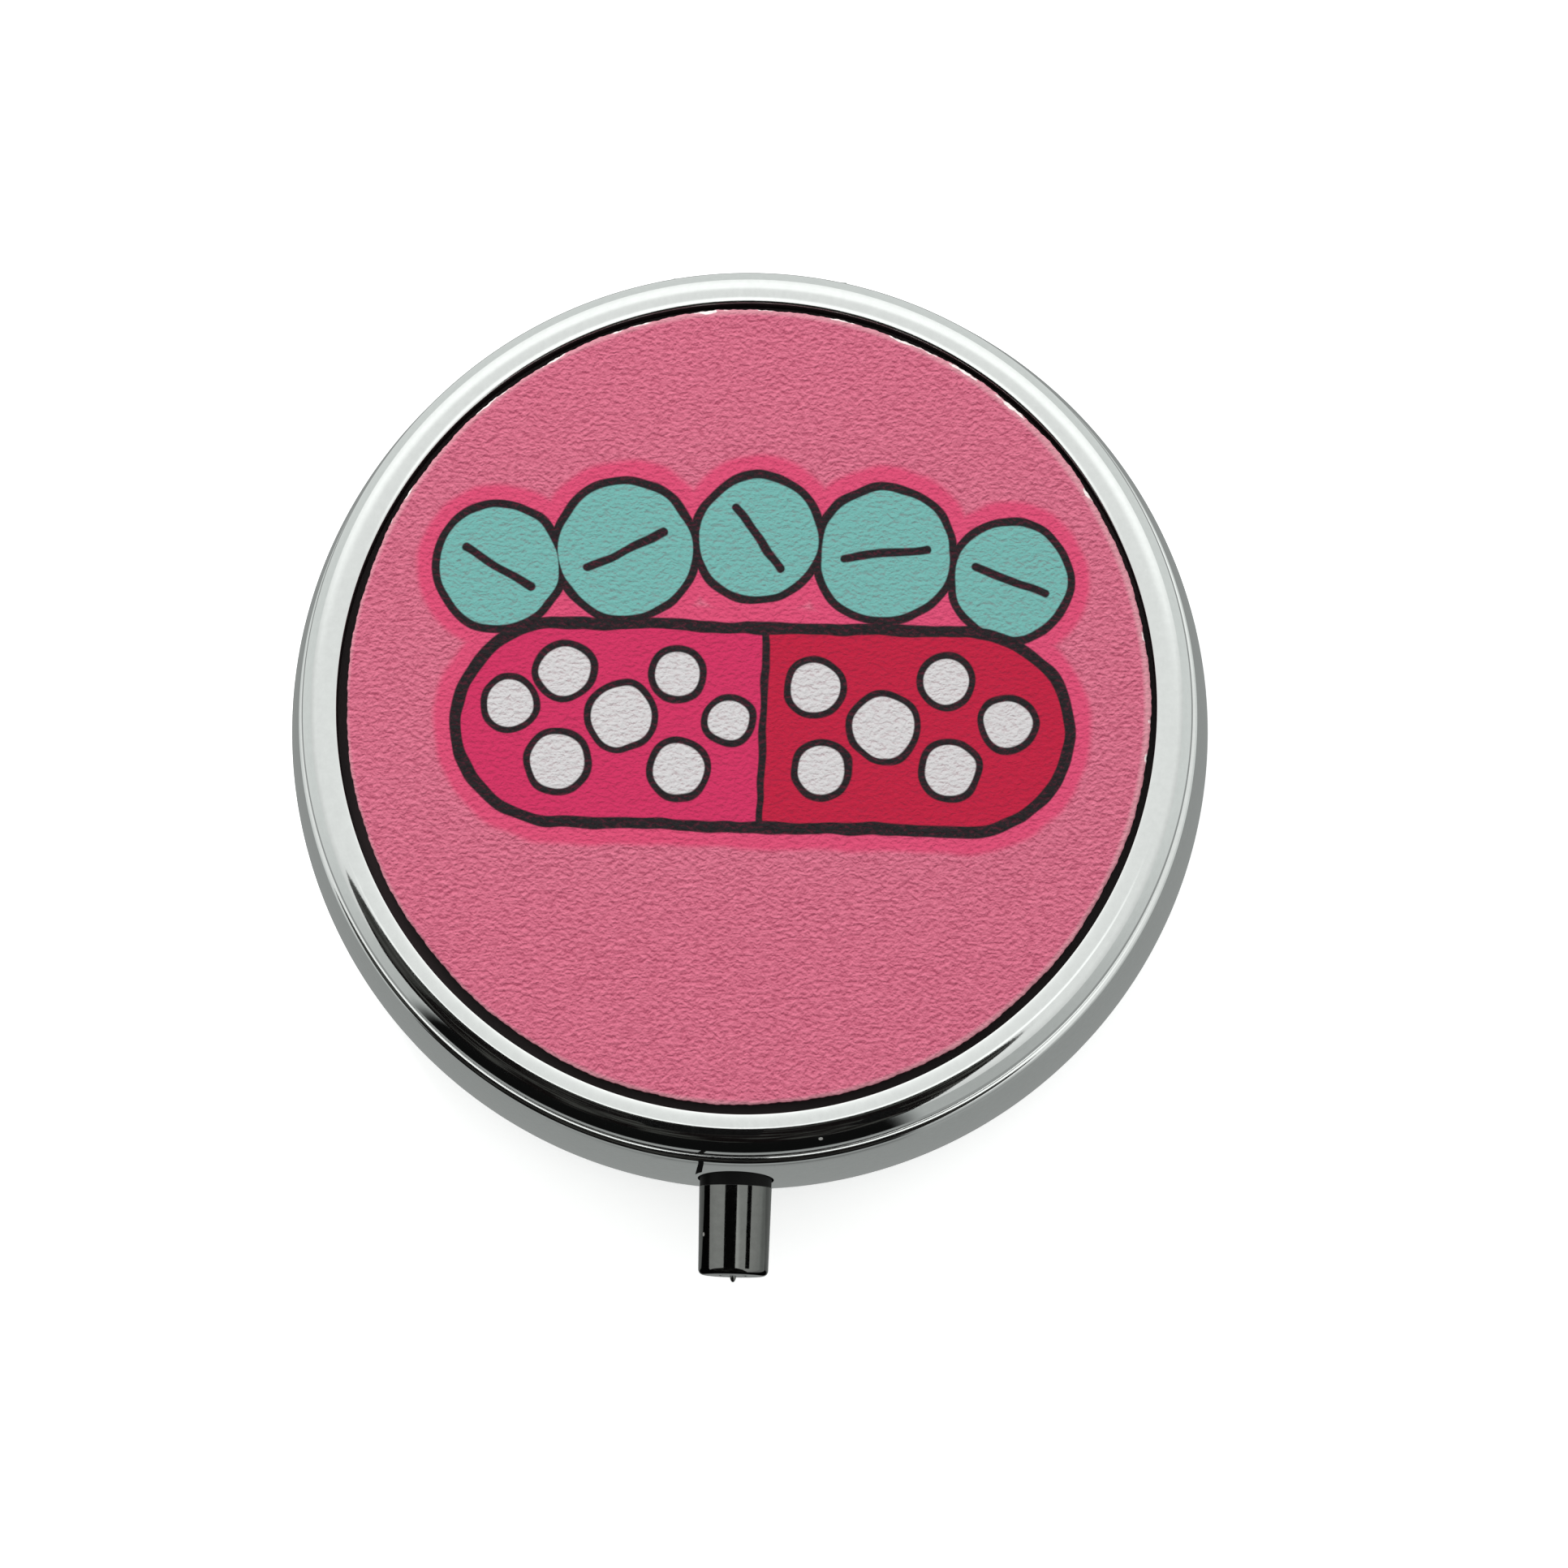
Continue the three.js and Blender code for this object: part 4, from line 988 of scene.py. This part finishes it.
def face_surface():
    """The disc: a square grid laid out over a circle ring by ring, raised by the pebbled grain, with a
    rounded edge, a side and a flat back. On the grid, the larger of |a| and |b| is the radius and the
    other sets the angle within its quarter."""
    a, b = np.meshgrid(np.linspace(-1, 1, GRID + 1), np.linspace(-1, 1, GRID + 1), indexing="xy")
    across = np.abs(a) > np.abs(b)
    radius = np.where(across, a, b)
    with np.errstate(divide="ignore", invalid="ignore"):
        ratio = np.where(across, b / a, a / b)
    ratio = np.nan_to_num(ratio)
    angle = np.where(across, np.pi / 4 * ratio, np.pi / 2 - np.pi / 4 * ratio)
    flat_radius = FACE_RADIUS - FACE_ROUND
    x = radius * np.cos(angle) * flat_radius
    y = radius * np.sin(angle) * flat_radius
    relief = np.clip(pebbles(x + 1, y * 1.25 + 1, GRAIN_CELL, GRAIN_SEED) / 0.45, 0, 1) ** 0.6
    fade = np.clip((1 - np.hypot(x, y) / flat_radius) * 12, 0, 1)
    z = FACE_TOP - GRAIN_DEPTH * (1 - relief * fade)
    top = np.stack([x, y, z], axis=-1).reshape(-1, 3)
    index = np.arange(len(top)).reshape(GRID + 1, GRID + 1)
    faces = grid_faces(GRID + 1, GRID + 1)
    rim = np.concatenate([index[0, :-1], index[:-1, -1], index[-1, :0:-1], index[:0:-1, 0]])
    around = np.arctan2(top[rim, 1], top[rim, 0])
    drop = np.radians(np.array([60, 30, 0]))
    side_radius = np.concatenate([flat_radius + FACE_ROUND * np.cos(drop), [FACE_RADIUS]])
    base = FACE_TOP - GRAIN_DEPTH - FACE_ROUND
    side_height = np.concatenate([base + FACE_ROUND * np.sin(drop), [FACE_BOTTOM]])
    ragged = sum(height * MM * np.sin(around * waves + start) for height, waves, start in EDGE_WAVES)
    side = np.stack([
        (side_radius[:, None] + ragged) * np.cos(around),
        (side_radius[:, None] + ragged) * np.sin(around),
        np.repeat(side_height[:, None], len(rim), axis=1),
    ], axis=-1).reshape(-1, 3)
    rows = np.vstack([rim, len(top) + np.arange(len(side)).reshape(-1, len(rim))])
    beside = np.roll(rows, -1, axis=1)
    faces += np.stack([rows[1:], beside[1:], beside[:-1], rows[:-1]], axis=-1).reshape(-1, 4).tolist()
    faces.append(rows[-1][::-1].tolist())
    return make_piece("printed_disc", np.vstack([top, side]) + OFF_CENTRE, faces)


printed_disc = face_surface()
settle(printed_disc, math.radians(60))


def capsule_distance():
    """How far a point is from a round-ended bar, less than nothing inside it: turn the point into the bar's
    own directions, take what sticks out past the bar's half length, and subtract the bar's radius."""
    sizes = [("Half", 0.0), ("Radius", 0.001), ("Turn", 0.0)]
    group, start, end = new_group("bar_distance", sizes, ["Distance"])
    for label in ("Point", "Centre"):
        group.interface.new_socket(name=label, in_out="INPUT", socket_type="NodeSocketVector")
    away = compute_vector(group, "SUBTRACT", start.outputs["Point"], start.outputs["Centre"])
    turn = {"Vector": away, "Angle": start.outputs["Turn"]}
    turned_point = add_node(group, "ShaderNodeVectorRotate", turn, rotation_type="Z_AXIS").outputs[0]
    parts = add_node(group, "ShaderNodeSeparateXYZ", {0: turned_point})
    past = compute(group, "SUBTRACT", compute(group, "ABSOLUTE", parts.outputs["X"]), start.outputs["Half"])
    past = compute(group, "MAXIMUM", past, 0.0)
    squares = compute(group, "ADD", compute(group, "POWER", past, 2.0),
                      compute(group, "MULTIPLY", parts.outputs["Y"], parts.outputs["Y"]))
    distance = compute(group, "SUBTRACT", compute(group, "SQRT", squares), start.outputs["Radius"])
    group.links.new(distance, end.inputs["Distance"])
    return group


BAR_DISTANCE = capsule_distance()
SHADE_REACH = 0.045 * MM


def leather_grain():
    """Pressed leather grain: pebbles of two sizes with short creases between them. The height bumps
    the surface; the second output is painted shade, low in the creases, and the third is painted light,
    high on the sides of the folds that face the back.
    """
    group, start, end = new_group("leather_grain", [("Scale", 3500.0)], ["Height", "Crease Shade", "Shade"])
    point = object_point(group)
    flow = noise(group, point, 900.0, 2.0, output="Color")
    bent = compute_vector(group, "MULTIPLY", flow, (0.3 * MM, 0.3 * MM, 0.0))
    moved = compute_vector(group, "ADD", point, bent)
    mapped = add_node(group, "ShaderNodeMapping", {"Vector": moved, "Scale": (0.8, 1.25, 0.0)}).outputs[0]
    cells = {"Vector": mapped, "Scale": start.outputs["Scale"]}
    large = add_node(group, "ShaderNodeTexVoronoi", cells, feature="SMOOTH_F1")
    large.inputs["Smoothness"].default_value = 0.6
    folds = []
    for shift in (0.0, -SHADE_REACH, SHADE_REACH):
        moved_up = compute_vector(group, "ADD", moved, (0.0, shift, 0.0))
        stretched = add_node(group, "ShaderNodeMapping", {"Vector": moved_up, "Scale": (1.0, 1.4, 0.0)})
        folds.append(noise(group, stretched.outputs[0], start.outputs["Scale"], 2.5, 0.6))
    pebble = rescale(group, large.outputs["Distance"], 0.15, 0.75, 1.0, 0.0)
    height = compute(group, "MULTIPLY_ADD", folds[0], 1.1, compute(group, "MULTIPLY", pebble, 0.3))
    group.links.new(height, end.inputs["Height"])
    group.links.new(rescale(group, height, 0.45, 0.95), end.inputs["Crease Shade"])
    slope = compute(group, "SUBTRACT", folds[1], folds[2])
    group.links.new(rescale(group, slope, -0.22, 0.22), end.inputs["Shade"])
    return group


LEATHER_GRAIN = leather_grain()

# The print's pink in painted shade and in painted light; the grain's painted shading mixes the two.
PINK_IN_SHADE = (0.38, 0.06, 0.115, 1)
PINK_IN_LIGHT = (0.71, 0.178, 0.275, 1)
HALO = (0.62, 0.045, 0.135, 1)
AQUA = (0.14, 0.38, 0.355, 1)
BLACK_INK = (0.006, 0.004, 0.006, 1)
LEFT_HALF = (0.54, 0.018, 0.095, 1)
RIGHT_HALF = (0.44, 0.002, 0.034, 1)
WHITE_INK = (0.57, 0.55, 0.56, 1)
CLOTH_EDGE = (0.62, 0.32, 0.36, 1)

CAPSULE_CENTRE = (0.9, -1.2)
CAPSULE_HALF = 11.0
CAPSULE_RADIUS = 5.35
OUTLINE = 0.32
HALO_WIDTH = 1.15
TABLETS = [(-13.4, 7.1, 3.3, 0.5), (-6.7, 8.2, 3.7, -0.45), (0.4, 9.0, 3.3, 0.95), (7.2, 8.3, 3.6, -0.15),
           (13.9, 7.0, 3.1, 0.35)]
PELLETS = [(-12.6, -0.2, 1.35), (-9.7, 1.6, 1.45), (-9.9, -3.3, 1.55), (-6.6, -0.8, 1.7), (-3.7, 1.5, 1.3),
           (-3.5, -3.6, 1.5), (-0.9, -0.9, 1.2), (3.6, 1.0, 1.45), (4.1, -3.4, 1.4), (7.3, -1.1, 1.75),
           (10.6, 1.5, 1.3), (10.9, -3.3, 1.5), (13.9, -0.7, 1.35)]

FACE_MATERIAL, tree, shader = new_material("printed_leathercloth")
point = object_point(tree)
wobble = noise(tree, point, 420.0, 1.0, output="Color")
shaken = compute_vector(tree, "MULTIPLY", wobble, (0.5 * MM, 0.5 * MM, 0.0))
pen_point = compute_vector(tree, "ADD", point, shaken)


def bar(x, y, half, radius, turn=0.0):
    """The distance from the print's round-ended bar at a place, in millimetres of the print."""
    centre = ((x + 0.25) * MM, (y + 0.25) * MM, FACE_TOP)
    inputs = {"Point": pen_point, "Centre": centre, "Half": half * MM, "Radius": radius * MM, "Turn": turn}
    return add_node(tree, "ShaderNodeGroup", inputs, node_tree=BAR_DISTANCE).outputs["Distance"]


def inked(distance, edge=0.0, softness=0.05):
    """1 inside a distance of the edge and 0 outside it, both in millimetres, with a soft step between."""
    return rescale(tree, distance, (edge + softness) * MM, (edge - softness) * MM, interpolation="SMOOTHSTEP")


grain = add_node(tree, "ShaderNodeGroup", node_tree=LEATHER_GRAIN)
capsule = bar(*CAPSULE_CENTRE, CAPSULE_HALF, CAPSULE_RADIUS)
tablets = [bar(x, y, 0.0, radius) for x, y, radius, turn in TABLETS]
scores = [bar(x, y, radius * 0.62, 0.02, turn) for x, y, radius, turn in TABLETS]
pellets = [bar(x, y, 0.0, radius) for x, y, radius in PELLETS]


def nearest_of(distances):
    """The least of several distances."""
    least = distances[0]
    for distance in distances[1:]:
        least = compute(tree, "MINIMUM", least, distance)
    return least


tablet = nearest_of(tablets)
# The pink is painted with light and shade from the grain: darker in the creases and lighter on the sides of
# the folds that face the back.
crease_shade_share = compute(tree, "MULTIPLY", grain.outputs["Crease Shade"], 0.35)
grain_light_and_shade = compute(tree, "MULTIPLY_ADD", grain.outputs["Shade"], 0.65, crease_shade_share)
colour = blend_colour(tree, grain_light_and_shade, PINK_IN_SHADE, PINK_IN_LIGHT)
halo = inked(nearest_of([capsule, tablet]), HALO_WIDTH, 0.22)
colour = blend_colour(tree, compute(tree, "MULTIPLY", halo, 0.85), colour, HALO)
colour = blend_colour(tree, inked(tablet, OUTLINE), colour, BLACK_INK)
colour = blend_colour(tree, inked(tablet, -OUTLINE * 0.4), colour, AQUA)
colour = blend_colour(tree, inked(nearest_of(scores), 0.2), colour, BLACK_INK)
side_of = part_of(tree, pen_point, "X")
SEAM = CAPSULE_CENTRE[0] + 0.25
right_half = rescale(tree, side_of, (SEAM - 0.05) * MM, (SEAM + 0.05) * MM)
filling = blend_colour(tree, right_half, LEFT_HALF, RIGHT_HALF)
colour = blend_colour(tree, inked(capsule, OUTLINE), colour, BLACK_INK)
colour = blend_colour(tree, inked(capsule, -OUTLINE), colour, filling)
pellet = nearest_of(pellets)
colour = blend_colour(tree, inked(pellet, OUTLINE * 0.8), colour, BLACK_INK)
colour = blend_colour(tree, inked(pellet, -OUTLINE * 0.4), colour, WHITE_INK)
middle_line = compute(tree, "ABSOLUTE", compute(tree, "SUBTRACT", side_of, SEAM * MM))
middle_line = compute(tree, "MULTIPLY", inked(middle_line, 0.2), inked(capsule))
colour = blend_colour(tree, middle_line, colour, BLACK_INK)
# Where the grain's painted shade is deepest, the pink is painted darker still: more painted shade.
deepest_grain_shade = rescale(tree, grain_light_and_shade, 0.1, 0.5, 0.3, 0.0)
colour = blend_colour(tree, deepest_grain_shade, colour, (0.25, 0.02, 0.06, 1))

flat_point = compute_vector(tree, "MULTIPLY", point, (1.0, 1.0, 0.0))
from_middle = compute_vector(tree, "LENGTH", flat_point)
edge_band = rescale(tree, from_middle, FACE_RADIUS - 0.32 * MM, FACE_RADIUS - 0.1 * MM)
colour = blend_colour(tree, compute(tree, "MULTIPLY", edge_band, 0.6), colour, CLOTH_EDGE)
nick_noise = noise(tree, point, 520.0, 5.0)
back_share = rescale(tree, part_of(tree, point, "Y"), -FACE_RADIUS, FACE_RADIUS, 0.05, 0.22)
nick_reach = rescale(tree, from_middle, FACE_RADIUS - 0.6 * MM, FACE_RADIUS, 0.0, 1.0)
nicks = compute(tree, "ADD", compute(tree, "MULTIPLY", nick_noise, nick_reach), back_share)
colour = blend_colour(tree, rescale(tree, nicks, 0.72, 0.76), colour, (0.86, 0.76, 0.75, 1))
up = part_of(tree, point, "Z")
side_wall = rescale(tree, up, FACE_TOP - 0.2 * MM, FACE_TOP - 0.12 * MM, 1.0, 0.0)
colour = blend_colour(tree, side_wall, colour, (0.09, 0.012, 0.025, 1))
tree.links.new(colour, shader.inputs["Base Color"])
tree.links.new(rescale(tree, grain.outputs["Height"], 0.3, 1.0, 0.72, 0.5), shader.inputs["Roughness"])
raise_relief(tree, shader, grain.outputs["Height"], 1.0, 0.09 * MM)
shader.inputs["Specular IOR Level"].default_value = 0.3
finish_piece(printed_disc, "lid", "leathercloth", FACE_MATERIAL, "face_disc")
